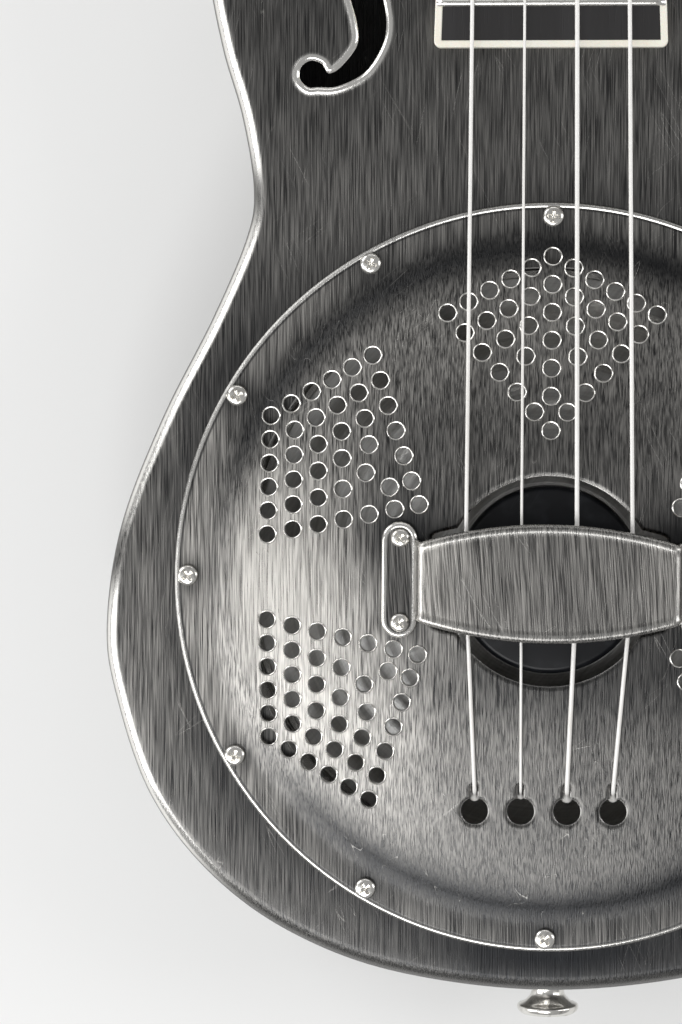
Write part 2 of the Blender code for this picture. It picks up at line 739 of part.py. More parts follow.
def neck_shaft():
    """The neck from heel to nut, round underneath and flat on top."""
    steps = 10
    points = []
    for y, half, depth in neck_sections():
        for i in range(steps + 1):
            angle = math.pi * i / steps
            points.append((half * math.cos(angle), y, BODY_DEPTH - depth * math.sin(angle) ** 0.8))
    ring = steps + 1
    count = len(neck_sections())
    faces = [tuple(range(ring)), tuple(range((count - 1) * ring, count * ring))]
    for section in range(count - 1):
        for i in range(ring):
            a = section * ring + i
            b = section * ring + (i + 1) % ring
            faces.append((a, b, b + ring, a + ring))
    return make_mesh("neck_shaft", points, faces)


def head_outline():
    """The headstock's outline in its own frame."""
    half = [(19.0, -1.0), (20.5, 3.0), (27.0, 11.0), (HEAD_HALF_WIDTH - 1, 20.0), (HEAD_HALF_WIDTH, 32.0),
            (HEAD_HALF_WIDTH - 2, 70.0), (HEAD_HALF_WIDTH - 3, 96.0), (24.0, 106.0), (13.0, 110.0), (5.0, 114.0)]
    right = smooth_through(half, 2, closed=False)
    return right + [(0.0, HEAD_LENGTH)] + [(-x, y) for x, y in reversed(right)]


def post_places():
    """Each tuner's string name, side and post centre in the headstock's frame."""
    lower, upper = POST_Y
    return (("g", -1, (-POST_X, lower)), ("c", -1, (-POST_X, upper)),
            ("e", 1, (POST_X, upper)), ("a", 1, (POST_X, lower)))


def neck(parent):
    """Neck and headstock in one piece of wood, bored for the tuners."""
    bores = [circle(BORE_RADIUS, 10, centre) for _, _, centre in post_places()]
    head = moved(prism("head", head_outline(), bores, -HEAD_THICKNESS, 0), head_matrix())
    mesh = combined("neck", neck_shaft(), [head], "UNION")
    add_piece("neck", mesh, "mahogany", parent)


def neck_stick(parent):
    """The bar that carries the string pull from the heel to the tail, inside the body."""
    stick = box_mesh("stick", (-STICK_WIDTH / 2, TAIL_Y + SHEET + 4 * GAP, STICK_BOTTOM_Z),
                     (STICK_WIDTH / 2, SHOULDER_Y, STICK_BOTTOM_Z + STICK_HEIGHT))
    pilot = along_y(prism("pilot", circle(2.4, 8, (0, STRAP_Z)), [], 0, 30), TAIL_Y + 28)
    mesh = combined("neck_stick", stick, [pilot], "DIFFERENCE")
    add_piece("neck_stick", mesh, "maple", parent)


def strap_button(parent):
    """The turned button on the tail and the screw through it, its head sunk into the button's end."""
    floor = STRAP_LENGTH - STRAP_RECESS
    button = [(STRAP_BORE, 0), (6.5, 0), (6.5, 1.5), (4.3, 3.5), (4.3, 7.0), (7.8, 9.3), (7.8, 10.6),
              (6.6, STRAP_LENGTH), (STRAP_RECESS_RADIUS, STRAP_LENGTH), (STRAP_RECESS_RADIUS, floor),
              (STRAP_BORE, floor)]
    place = (0, TAIL_Y - GAP, STRAP_Z)
    tail = (90, 0, 0)
    add_piece("strap_button", turned_solid("strap_button", button, 12, ring=True), "bright_nickel", parent,
              place, tail)
    seat = floor + GAP
    screw = [(0, -14.0), (1.8, -12.0), (1.8, seat), (4.0, seat), (4.0, seat + 0.8), (3.4, seat + 1.4),
             (0, seat + 1.5)]
    add_piece("strap_button_screw", turned_solid("strap_button_screw", screw, 10), "bright_nickel", parent,
              place, tail)


def tangent_start(start, centre, radius, side):
    """The angle, in degrees, at which a string from start first touches a post's inner side."""
    away = Vector(start) - Vector(centre)
    spread = math.degrees(math.acos(radius / away.length))
    return math.degrees(math.atan2(away.y, away.x)) - side * spread


def string_route(index):
    """The string's centre line from its knot to the last turn on its post, and its width at each point."""
    radius = STRING_DIAMETERS[index] / 2
    slot_x = KEYHOLES_X[index]
    slot_y = KEYHOLE_SLOT_END - 0.7 - radius
    surface = plate_height(slot_x, slot_y)
    under = surface - PLATE_SHEET
    saddle_z = SADDLE_TOP_Z - NOTCH_DEPTH + GAP + radius
    nut_z = NUT_TOP_Z - NOTCH_DEPTH + GAP + radius
    nut_x = string_places(NUT_SPREAD)[index]
    nut_end = SCALE_LENGTH + GAP + NUT_LENGTH
    route = [((slot_x, slot_y - 2.6, under - 4.6), 0.5), ((slot_x, slot_y - 2.4, under - 3.9), 2.6),
             ((slot_x, slot_y - 2.1, under - 2.7), 2.6), ((slot_x, slot_y - 1.9, under - 2.0), 1.0),
             ((slot_x, slot_y - 0.3, surface + radius - 0.1), 1.0),
             ((slot_x, slot_y + 0.5, surface + radius + GAP + 0.1), 1.0),
             ((string_places(SADDLE_SPREAD)[index], 0.0, saddle_z), 1.0),
             ((nut_x, SCALE_LENGTH + GAP, nut_z), 1.0), ((nut_x, nut_end, nut_z), 1.0)]
    _, side, centre = post_places()[index]
    head = head_matrix()
    start = head.inverted() @ Vector((nut_x, nut_end, nut_z))
    wrap = POST_WAIST + GAP + radius
    first = tangent_start(start.xy, centre, wrap, side)
    steps = round(WRAPS * WRAP_STEPS)
    for step in range(steps + 1):
        angle = first - side * 360 * step / WRAP_STEPS
        height = WRAP_TOP - (2 * radius + 0.25) * step / WRAP_STEPS
        x, y = polar(wrap / math.cos(math.pi / WRAP_STEPS), angle, centre)
        route.append((tuple(head @ Vector((x, y, height))), 1.0))
    return route, radius


def strings(parent):
    """The four strings, each knotted under the coverplate and wound on its post."""
    for index, name in enumerate(STRING_NAMES):
        route, radius = string_route(index)
        curve = bpy.data.curves.new(f"string_{name}", "CURVE")
        curve.dimensions = "3D"
        curve.bevel_depth = radius * MM
        curve.bevel_resolution = STRING_SIDES
        curve.use_fill_caps = True
        spline = curve.splines.new("POLY")
        spline.points.add(len(route) - 1)
        for point, (place, width) in zip(spline.points, route):
            point.co = (*(Vector(place) * MM), 1.0)
            point.radius = width
        curve.materials.append(finish("nylon"))
        piece = bpy.data.objects.new(f"string_{name}", curve)
        piece.parent = parent
        bpy.context.scene.collection.objects.link(piece)


def post_mesh():
    """A tuner's string post, with the string's cross hole and a stub for its gear."""
    shoulder = -WORM_DROP + GEAR_WIDTH / 2 + GAP
    profile = [(0, -WORM_DROP - GEAR_WIDTH / 2 - GAP), (POST_STUB, -WORM_DROP - GEAR_WIDTH / 2 - GAP),
               (POST_STUB, shoulder), (POST_RADIUS, shoulder), (POST_RADIUS, 6.5), (POST_WAIST, 7.5),
               (POST_WAIST, 12.5), (POST_RADIUS, 13.2), (POST_RADIUS, POST_TOP - 0.6),
               (POST_RADIUS - 0.6, POST_TOP), (0, POST_TOP)]
    hole = along_y(prism("hole", circle(0.8, 6, (0, 12.0)), [], 0, 10), 5)
    return combined("tuner_post", turned_solid("post", profile, 10), [hole], "DIFFERENCE")


def bushing_mesh():
    """The ring that guides a post at the headstock's face."""
    bore = POST_RADIUS + GAP
    profile = [(bore, 1.7), (4.9, 1.7), (5.4, 1.2), (5.4, GAP), (4.2, GAP), (4.2, -5.0), (bore, -5.0)]
    return turned_solid("tuner_bushing", profile, 10, ring=True)


def gear_mesh():
    """The post's gear, a tooth gap facing the worm at -Y."""
    tip = GEAR_PITCH_RADIUS + ADDENDUM
    root = GEAR_PITCH_RADIUS - DEDENDUM
    outline = []
    for tooth in range(TEETH):
        middle = -90 + 360 * (tooth + 0.5) / TEETH
        for radius, half in ((root, -TOOTH_ROOT_HALF), (tip, -TOOTH_TIP_HALF), (tip, TOOTH_TIP_HALF),
                             (root, TOOTH_ROOT_HALF)):
            outline.append(polar(radius, middle + math.degrees(half / radius)))
    half = GEAR_WIDTH / 2
    return prism("tuner_gear", outline, [circle(POST_STUB + GAP, 8)], -WORM_DROP - half, half - WORM_DROP)


def worm_mesh():
    """A worm on its shaft along X, from the inner lug to inside the button."""
    lead = 2 * math.pi * GEAR_PITCH_RADIUS / TEETH
    root = WORM_PITCH_RADIUS - DEDENDUM
    crest = WORM_PITCH_RADIUS + ADDENDUM
    n = WORM_STEPS
    last = WORM_TURNS * n
    points = []
    thread = []
    for offset, radius in ((-TOOTH_ROOT_HALF, root), (-TOOTH_TIP_HALF, crest), (TOOTH_TIP_HALF, crest),
                           (TOOTH_ROOT_HALF, root)):
        line = []
        for i in range(last + 1):
            turn = i / n - WORM_TURNS / 2
            line.append(len(points))
            points.append((lead * turn + offset, *polar(radius, 360 * turn)))
        thread.append(line)
    faces = []
    for line, following in zip(thread, thread[1:]):
        faces += [(line[i], line[i + 1], following[i + 1], following[i]) for i in range(last)]
    begin, end = thread[0], thread[3]
    faces += [(end[i], end[i + 1], begin[i + 1 + n], begin[i + n]) for i in range(last - n)]
    faces += [tuple(line[0] for line in thread), tuple(line[last] for line in thread)]

    def shaft(stations):
        rings = []
        for x, radius in stations:
            rings.append(list(range(len(points), len(points) + n)))
            points.extend((x, *polar(radius, 360 * (i / n - WORM_TURNS / 2))) for i in range(n))
        for a, b in zip(rings, rings[1:]):
            faces.extend((a[i], a[(i + 1) % n], b[(i + 1) % n], b[i]) for i in range(n))
        faces.append(tuple(rings[-1]))
        return rings[0]

    inner = shaft(((-4.9, root), (-6.9, root), (-6.9, 2.2), (-7.7, 2.2)))
    outer = shaft(((4.9, root), (6.9, root), (6.9, 2.4), (8.3, 2.4), (8.3, 1.7), (BUTTON_X + 5.7, 1.7)))
    faces += [(inner[i], inner[i + 1], begin[i + 1], begin[i]) for i in range(n - 1)]
    faces += fan(inner[n - 1], (inner[0], begin[0], end[0], begin[n], begin[n - 1]))
    final = last - n
    faces += [(end[final + i], end[final + i + 1], outer[(i + 1) % n], outer[i]) for i in range(1, n)]
    faces += fan(outer[1], (outer[0], end[last], begin[last], end[final], end[final + 1]))
    return make_mesh("tuner_worm", points, faces)


def fan(hub, corners):
    """Triangles from one corner to each edge of a row of corners."""
    return [(hub, a, b) for a, b in zip(corners, corners[1:])]


def button_mesh():
    """The oval button on a worm shaft along X, with a blind bore for the shaft."""
    profile = [(0, 6.2), (2.0, 6.2), (2.0, 0), (3.2, 0), (5.2, 1.4), (6.9, 4.6), (7.0, 7.4), (5.8, 10.2),
               (3.2, 11.9), (0, 12.4)]
    mesh = turned_solid("tuner_button", profile, 12)
    for vertex in mesh.vertices:
        if math.hypot(vertex.co.x, vertex.co.y) > 2.5 * MM:
            vertex.co.x *= BUTTON_FLATNESS
    return moved(mesh, Matrix.Translation((BUTTON_X, 0, 0)) @ Matrix.Rotation(math.pi / 2, 4, "Y"))


def tuner_plate_mesh():
    """The tuner's back plate with the two lugs that hold the worm shaft."""
    top = -HEAD_THICKNESS - GAP
    low = top - TUNER_PLATE
    gear_offset = GEAR_PITCH_RADIUS + WORM_PITCH_RADIUS
    outline = [(-5, -14), (5, -14), (6.5, -12), (6.5, 10), (4.5, 13), (-4.5, 13), (-6.5, 10), (-6.5, -12)]
    base = prism("base", outline, [circle(POST_RADIUS + GAP, 10)], low, top)
    foot = WORM_DROP + WORM_PITCH_RADIUS + 1.0
    lugs = [box_mesh("lug", (x - LUG_THICKNESS / 2, -gear_offset - 2.7, -foot),
                     (x + LUG_THICKNESS / 2, -gear_offset + 2.7, top - TUNER_PLATE / 2)) for x in (-LUG_X, LUG_X)]
    mesh = combined("tuner_plate", base, lugs, "UNION")
    hole = prism("hole", circle(WORM_PITCH_RADIUS - DEDENDUM + GAP, 8), [], -10, 10)
    place = Matrix.Translation((0, -gear_offset, -WORM_DROP)) @ Matrix.Rotation(math.pi / 2, 4, "Y")
    return combined("tuner_plate", mesh, [moved(hole, place)], "DIFFERENCE")


def tuners(parent):
    """Four open-geared tuners: each button turns a worm, which turns the post through its gear."""
    mirror = Matrix.Diagonal((-1, 1, 1, 1))
    offset = GEAR_PITCH_RADIUS + WORM_PITCH_RADIUS
    masters = {"post": (post_mesh(), "bright_nickel"), "bushing": (bushing_mesh(), "bright_nickel"),
               "gear": (gear_mesh(), "brass"), "plate": (tuner_plate_mesh(), "bright_nickel"),
               "worm": (worm_mesh(), "bright_nickel"), "button": (button_mesh(), "ivory_plastic")}
    sides = {1: masters}
    sides[-1] = {key: (moved(mesh.copy(), mirror), material) for key, (mesh, material) in masters.items()}
    for name, side, centre in post_places():
        post_axis = add_empty(f"tuner_{name}_post_axis", parent, (*centre, 0))
        worm_axis = add_empty(f"tuner_{name}_worm_axis", parent, (centre[0], centre[1] - offset, -WORM_DROP))
        for key, (mesh, material) in sides[side].items():
            holder = worm_axis if key in ("worm", "button") else post_axis
            add_piece(f"tuner_{name}_{key}", mesh, material, holder)


def centre_on_floor(instrument):
    """Moves the instrument so that the middle of its footprint is the origin."""
    bpy.context.view_layer.update()
    lengths = []
    for item in bpy.context.scene.objects:
        if item.type in {"MESH", "CURVE"}:
            lengths += [(item.matrix_world @ Vector(corner)).y for corner in item.bound_box]
    instrument.location.y -= (min(lengths) + max(lengths)) / 2


def main():
    """Builds the instrument."""
    clear_scene()
    instrument = add_empty("instrument")
    for build in (body_top, body_sides, body_back, sound_well, resonator_cone, biscuit, saddle, coverplate,
                  hand_rest, coverplate_screws, hand_rest_screws, fretboard, fretboard_binding, nut, neck,
                  neck_stick, strap_button, strings):
        build(instrument)
    headstock = add_empty("headstock", instrument, head_origin(), -HEAD_TILT)
    tuners(headstock)
    centre_on_floor(instrument)


main()
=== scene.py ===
"""Looks of a four-string resonator ukulele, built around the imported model.

The builders work in millimetres in the instrument's own frame: +Y to the headstock, +Z out of the face,
y = 0 at the middle of the coverplate and z = 0 at the back of the body. Sketch.build turns that into
metres in the model's frame.
"""

import logging
import math
from collections.abc import Sequence
from dataclasses import dataclass
from enum import Enum

import bmesh
import bpy
import numpy as np
from mathutils import Matrix, Vector, kdtree
from mathutils.geometry import delaunay_2d_cdt


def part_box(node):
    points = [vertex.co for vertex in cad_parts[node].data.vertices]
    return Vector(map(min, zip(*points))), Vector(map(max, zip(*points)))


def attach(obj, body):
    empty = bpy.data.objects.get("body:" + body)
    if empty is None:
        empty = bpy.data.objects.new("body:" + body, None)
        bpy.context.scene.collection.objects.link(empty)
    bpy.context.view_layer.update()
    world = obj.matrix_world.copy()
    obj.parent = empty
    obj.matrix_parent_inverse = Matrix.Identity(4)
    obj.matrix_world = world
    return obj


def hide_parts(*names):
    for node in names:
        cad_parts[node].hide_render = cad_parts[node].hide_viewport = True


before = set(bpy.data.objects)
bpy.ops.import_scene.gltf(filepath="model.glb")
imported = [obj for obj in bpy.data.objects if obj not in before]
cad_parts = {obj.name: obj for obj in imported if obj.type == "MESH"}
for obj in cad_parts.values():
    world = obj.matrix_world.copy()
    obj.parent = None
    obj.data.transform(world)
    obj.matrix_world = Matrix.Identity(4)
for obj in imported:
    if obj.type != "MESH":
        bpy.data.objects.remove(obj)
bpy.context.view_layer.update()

MM = 0.001
ROOT = "instrument"
LOG = logging.getLogger("ukulele")

Point2 = tuple[float, float]
Point3 = tuple[float, float, float]
Loop = list[int]


class Side(Enum):
    """A half of the instrument, seen from the front with the neck up."""

    LEFT = -1
    RIGHT = 1


class Brush(Enum):
    """The way a brushed finish runs."""

    LENGTHWISE = "along the instrument"
    AROUND = "along the piece's own UV map"


# ---------------------------------------------------------------------------------------------------
# Plane geometry


def polar(radius: float, angle: float, centre: Point2 = (0.0, 0.0)) -> Point2:
    """A point on a circle, the angle in degrees."""
    turn = math.radians(angle)
    return (centre[0] + radius * math.cos(turn), centre[1] + radius * math.sin(turn))


def circle(radius: float, sides: int, centre: Point2 = (0.0, 0.0)) -> list[Point2]:
    """The corners of a regular polygon."""
    return [polar(radius, 360 * i / sides, centre) for i in range(sides)]


def turned_point(point: Point2, angle: float) -> Point2:
    """A point turned about the coverplate's middle, the angle in degrees.

    Args:
        point: the point.
        angle: degrees, anticlockwise.

    Returns:
        The turned point.
    """
    turn = math.radians(angle)
    x, y = point
    return (x * math.cos(turn) - y * math.sin(turn), x * math.sin(turn) + y * math.cos(turn))


def smooth_through(points: Sequence[Sequence[float]], steps: int, closed: bool) -> list[tuple[float, ...]]:
    """Points on a smooth curve through the given ones.

    Args:
        points: the curve's own points, in two or three dimensions.
        steps: how many pieces each span is cut into.
        closed: whether the curve returns to its start.

    Returns:
        The curve's points in order.
    """
    count = len(points)
    curve = []
    for i in range(count if closed else count - 1):
        ends = [i - 1, i, i + 1, i + 2]
        picked = [k % count if closed else min(max(k, 0), count - 1) for k in ends]
        a, b, c, d = (Vector(points[k]) for k in picked)
        for k in range(steps):
            t = k / steps
            curve.append(tuple(0.5 * (2 * b + (c - a) * t + (2 * a - 5 * b + 4 * c - d) * t ** 2
                                      + (3 * b - a - 3 * c + d) * t ** 3)))
    if not closed:
        curve.append(tuple(points[-1]))
    return curve


def anticlockwise(loop: list[Point2]) -> list[Point2]:
    """The loop in anticlockwise order."""
    area = sum(a[0] * b[1] - b[0] * a[1] for a, b in zip(loop, loop[1:] + loop[:1]))
    return loop if area > 0 else loop[::-1]


def inset(loop: list[Point2], distance: float | Sequence[float]) -> list[Point2]:
    """An anticlockwise loop moved inwards along its own normals.

    Args:
        loop: the corners.
        distance: how far in millimetres, for all corners or for each; negative moves outwards.

    Returns:
        The moved corners.
    """
    shifts = [distance] * len(loop) if isinstance(distance, (int, float)) else distance
    result = []
    for before, here, after, shift in zip(loop[-1:] + loop[:-1], loop, loop[1:] + loop[:1], shifts):
        run = (Vector(after) - Vector(before)).normalized()
        result.append((here[0] - run.y * shift, here[1] + run.x * shift))
    return result


def inside(loop: list[Point2], points: np.ndarray) -> np.ndarray:
    """Which of many points lie inside a closed loop.

    Args:
        loop: a closed loop.
        points: the points, one in each row.

    Returns:
        True for each point inside.
    """
    corners = np.array(loop)
    following = np.roll(corners, -1, axis=0)
    odd = np.zeros(len(points), bool)
    for (x0, y0), (x1, y1) in zip(corners, following):
        if y0 == y1:
            continue
        crosses = (y0 > points[:, 1]) != (y1 > points[:, 1])
        odd ^= crosses & (points[:, 0] < x0 + (x1 - x0) * (points[:, 1] - y0) / (y1 - y0))
    return odd


def near_tree(points: Sequence[Point2]) -> kdtree.KDTree:
    """A search tree over flat points.

    Args:
        points: the points.

    Returns:
        The tree.
    """
    tree = kdtree.KDTree(len(points))
    for i, (x, y) in enumerate(points):
        tree.insert((x, y, 0), i)
    tree.balance()
    return tree


def cut_sheet(outer: list[Point2], holes: Sequence[list[Point2]], pitch: float,
              rounds: Sequence[Point2] = (), round_radius: float = 0.0,
              extra: Sequence[Point2] = ()) -> tuple[list[Point2], list[Loop], list[Loop]]:
    """An even mesh of a flat sheet with holes.

    Args:
        outer: the sheet's edge.
        holes: loops that are cut out.
        pitch: the spacing of the points inside the sheet, in millimetres.
        rounds: the centres of round holes of one size.
        round_radius: their radius.
        extra: points inside the sheet that the mesh must have.

    Returns:
        The points, the triangles and the point numbers of the edge and of each hole.
    """
    loops = [outer, *holes, *(circle(round_radius, 24, centre) for centre in rounds)]
    points: list[Point2] = []
    edges = []
    spans = []
    for loop in loops:
        first = len(points)
        points.extend(loop)
        spans.append(range(first, len(points)))
        edges.extend((first + i, first + (i + 1) % len(loop)) for i in range(len(loop)))
    points.extend(extra)
    corners = np.array(outer)
    (x0, y0), (x1, y1) = corners.min(0), corners.max(0)
    grid = np.array([(x + pitch / 2 * (j % 2), y) for j, y in enumerate(np.arange(y0, y1, pitch * 0.866))
                     for x in np.arange(x0, x1, pitch)])
    keep = inside(outer, grid)
    for hole in holes:
        keep &= ~inside(hole, grid)
    edge_tree = near_tree(points)
    round_tree = near_tree(rounds)
    for x, y in grid[keep]:
        if edge_tree.find((x, y, 0))[2] < pitch * 0.6:
            continue
        if rounds and round_tree.find((x, y, 0))[2] < round_radius + pitch * 0.3:
            continue
        points.append((x, y))
    flat, _, faces, origins, _, _ = delaunay_2d_cdt([Vector(p) for p in points], edges, [], 1, 1e-6)
    place = {source: i for i, sources in enumerate(origins) for source in sources}
    middles = np.array([tuple(p) for p in flat])[np.array(faces)].mean(1)
    cut = ~inside(outer, middles)
    for hole in holes:
        cut |= inside(hole, middles)
    kept = []
    for face, middle, gone in zip(faces, middles, cut):
        in_round = rounds and round_tree.find((middle[0], middle[1], 0))[2] < round_radius * 0.99
        if not gone and not in_round:
            kept.append(list(face))
    return [tuple(p) for p in flat], kept, [[place[i] for i in span] for span in spans]


# ---------------------------------------------------------------------------------------------------
# Where things are


@dataclass(frozen=True)
class Datum:
    """The instrument's own frame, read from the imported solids.

    Attributes:
        plate_y: the coverplate's middle in the model's frame, in metres.
        face_z: the height of the body's face, in millimetres.
        plate_radius: the coverplate's radius, in millimetres.
    """

    plate_y: float
    face_z: float
    plate_radius: float

    @classmethod
    def from_frame(cls) -> "Datum":
        """Reads the datum from the solids' boxes.

        Returns:
            The places.
        """
        low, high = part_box("coverplate")
        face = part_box("body_top")[1].z
        return cls((low.y + high.y) / 2, face / MM, (high.x - low.x) / 2 / MM)

    def world(self, point: Sequence[float]) -> Vector:
        """A point of the instrument's frame in metres in the model's frame."""
        return Vector((point[0] * MM, point[1] * MM + self.plate_y, point[2] * MM))


# ---------------------------------------------------------------------------------------------------
# Node trees


class Value:
    """A number that varies over a surface. Arithmetic on it adds Math nodes."""

    def __init__(self, graph: "Graph", socket: bpy.types.NodeSocket) -> None:
        """Wraps an output socket of the graph."""
        self.graph = graph
        self.socket = socket

    def _maths(self, operation: str, *terms: "Value | float") -> "Value":
        """The output of a Math node."""
        made = self.graph.node("ShaderNodeMath", {"operation": operation}, dict(enumerate(terms)))
        return Value(self.graph, made.outputs[0])

    def __add__(self, other: "Value | float") -> "Value":
        """Sum."""
        return self._maths("ADD", self, other)

    __radd__ = __add__

    def __sub__(self, other: "Value | float") -> "Value":
        """Difference."""
        return self._maths("SUBTRACT", self, other)

    def __rsub__(self, other: float) -> "Value":
        """Difference from a number."""
        return self._maths("SUBTRACT", other, self)

    def __mul__(self, other: "Value | float") -> "Value":
        """Product."""
        return self._maths("MULTIPLY", self, other)

    __rmul__ = __mul__

    def __truediv__(self, other: "Value | float") -> "Value":
        """Quotient."""
        return self._maths("DIVIDE", self, other)

    def __abs__(self) -> "Value":
        """Size without sign."""
        return self._maths("ABSOLUTE", self)

    def __pow__(self, power: float) -> "Value":
        """Power."""
        return self._maths("POWER", self, power)

    def at_least(self, floor: "Value | float") -> "Value":
        """The larger of this and another."""
        return self._maths("MAXIMUM", self, floor)

    def eased(self, low: float, high: float) -> "Value":
        """0 below low, 1 above high and a smooth step between them."""
        made = self.graph.node("ShaderNodeMapRange", {"interpolation_type": "SMOOTHSTEP"},
                               {"Value": self, "From Min": low, "From Max": high})
        return Value(self.graph, made.outputs["Result"])

    def clipped(self) -> "Value":
        """The value held between 0 and 1."""
        made = self.graph.node("ShaderNodeClamp", {}, {"Value": self})
        return Value(self.graph, made.outputs[0])


class Tree:
    """A node tree under construction."""

    def __init__(self, tree: bpy.types.NodeTree) -> None:
        """Takes an empty tree."""
        self.tree = tree

    def node(self, kind: str, settings: dict[str, object], inputs: dict[str | int, object]) -> bpy.types.Node:
        """Adds a node.

        Args:
            kind: the node's type.
            settings: its properties, set before its sockets.
            inputs: a number, colour, socket or Value for each socket by name or number.

        Returns:
            The node.
        """
        made = self.tree.nodes.new(kind)
        for key, value in settings.items():
            setattr(made, key, value)
        for key, value in inputs.items():
            source = value.socket if isinstance(value, Value) else value
            if isinstance(source, bpy.types.NodeSocket):
                self.tree.links.new(source, made.inputs[key])
            else:
                made.inputs[key].default_value = source
        return made


class Graph(Tree):
    """The node tree of one material."""

    def __init__(self, name: str) -> None:
        """Starts a material with an empty tree.

        Args:
            name: the finish's name.
        """
        self.material = bpy.data.materials.new(name + "_finish")
        self.material.use_nodes = True
        super().__init__(self.material.node_tree)
        self.tree.nodes.clear()

    def coords(self, stretch: Point3, brush: Brush = Brush.LENGTHWISE, turn: float = 0.0,
               origin: Point3 = (0.0, 0.0, 0.0)) -> bpy.types.NodeSocket:
        """Coordinates for a pattern, stretched along the brushing.

        Args:
            stretch: repeats per metre along each axis.
            brush: which coordinates the pattern follows.
            turn: a turn about Z before the stretch, in degrees.
            origin: the point that becomes zero, in metres.

        Returns:
            A vector socket.
        """
        source = self.node("ShaderNodeTexCoord", {}, {})
        place = source.outputs["Object" if brush is Brush.LENGTHWISE else "UV"]
        if any(origin):
            moved = self.node("ShaderNodeVectorMath", {"operation": "SUBTRACT"}, {0: place, 1: origin})
            place = moved.outputs[0]
        if turn:
            spun = self.node("ShaderNodeVectorRotate", {"rotation_type": "Z_AXIS"},
                             {"Vector": place, "Angle": math.radians(turn)})
            place = spun.outputs[0]
        return self.node("ShaderNodeMapping", {}, {"Vector": place, "Scale": stretch}).outputs[0]

    def noise(self, coords: bpy.types.NodeSocket, detail: float = 2.0, distortion: float = 0.0) -> Value:
        """Soft noise between 0 and 1."""
        made = self.node("ShaderNodeTexNoise", {}, {"Vector": coords, "Scale": 1.0, "Detail": detail,
                                                    "Distortion": distortion})
        return Value(self, made.outputs["Fac"])

    def attribute(self, name: str) -> Value:
        """A number stored on the mesh's points."""
        made = self.node("ShaderNodeAttribute", {"attribute_name": name}, {})
        return Value(self, made.outputs["Fac"])

    def hairlines(self, stretch: Point3, turn: float, width: float, brush: Brush) -> Value:
        """Long thin scratches in one direction, broken into lengths.

        Args:
            stretch: cycles a metre along X, Y and Z.
            turn: degrees from the brush direction.
            width: how far from its middle value the noise still counts as a scratch.
            brush: the way the finish runs.

        Returns:
            1 on a scratch and 0 off it.
        """
        field = self.noise(self.coords(stretch, brush, turn), 0.0)
        line = 1 - (abs(field - 0.5) / width).clipped()
        gaps = self.noise(self.coords((90.0, 60.0, 90.0), brush, turn + 20), 1.0).eased(0.56, 0.68)
        return line * gaps

    def mix(self, factor: Value | float, first: object, second: object) -> bpy.types.NodeSocket:
        """A blend of two colours, given as sockets or as red, green and blue.

        Args:
            factor: how much of the second.
            first: the first colour.
            second: the second colour.

        Returns:
            The colour socket.
        """
        ends = [(*c, 1.0) if isinstance(c, tuple) else c for c in (first, second)]
        made = self.node("ShaderNodeMix", {"data_type": "RGBA"}, {0: factor, 6: ends[0], 7: ends[1]})
        return made.outputs[2]

    def bump(self, height: Value, distance: float, strength: float) -> bpy.types.NodeSocket:
        """A normal from a height, the distance in metres."""
        made = self.node("ShaderNodeBump", {}, {"Height": height, "Distance": distance, "Strength": strength})
        return made.outputs[0]

    def surface(self, **inputs: object) -> bpy.types.Material:
        """Ends the tree in a Principled shader.

        Args:
            inputs: its sockets by name, with _ for a space.

        Returns:
            The finished material.
        """
        named = {key.replace("_", " "): value for key, value in inputs.items()}
        colour = named.get("Base Color")
        if isinstance(colour, tuple):
            named["Base Color"] = (*colour, 1.0)
        shader = self.node("ShaderNodeBsdfPrincipled", {}, named)
        self.node("ShaderNodeOutputMaterial", {}, {"Surface": shader.outputs[0]})
        return self.material


# ---------------------------------------------------------------------------------------------------
# Finishes


@dataclass(frozen=True)
class Finish:
    """A finish that pieces share. The material is made once.

    Attributes:
        name: the material's name.
        slot: the record's material slot that it belongs to; not used by this script.
    """

    name: str
    slot: str

    def make(self) -> bpy.types.Material:
        """Builds the material."""
        raise NotImplementedError

    def material(self) -> bpy.types.Material:
        """The material, made on first use."""
        return bpy.data.materials.get(self.name + "_finish") or self.make()


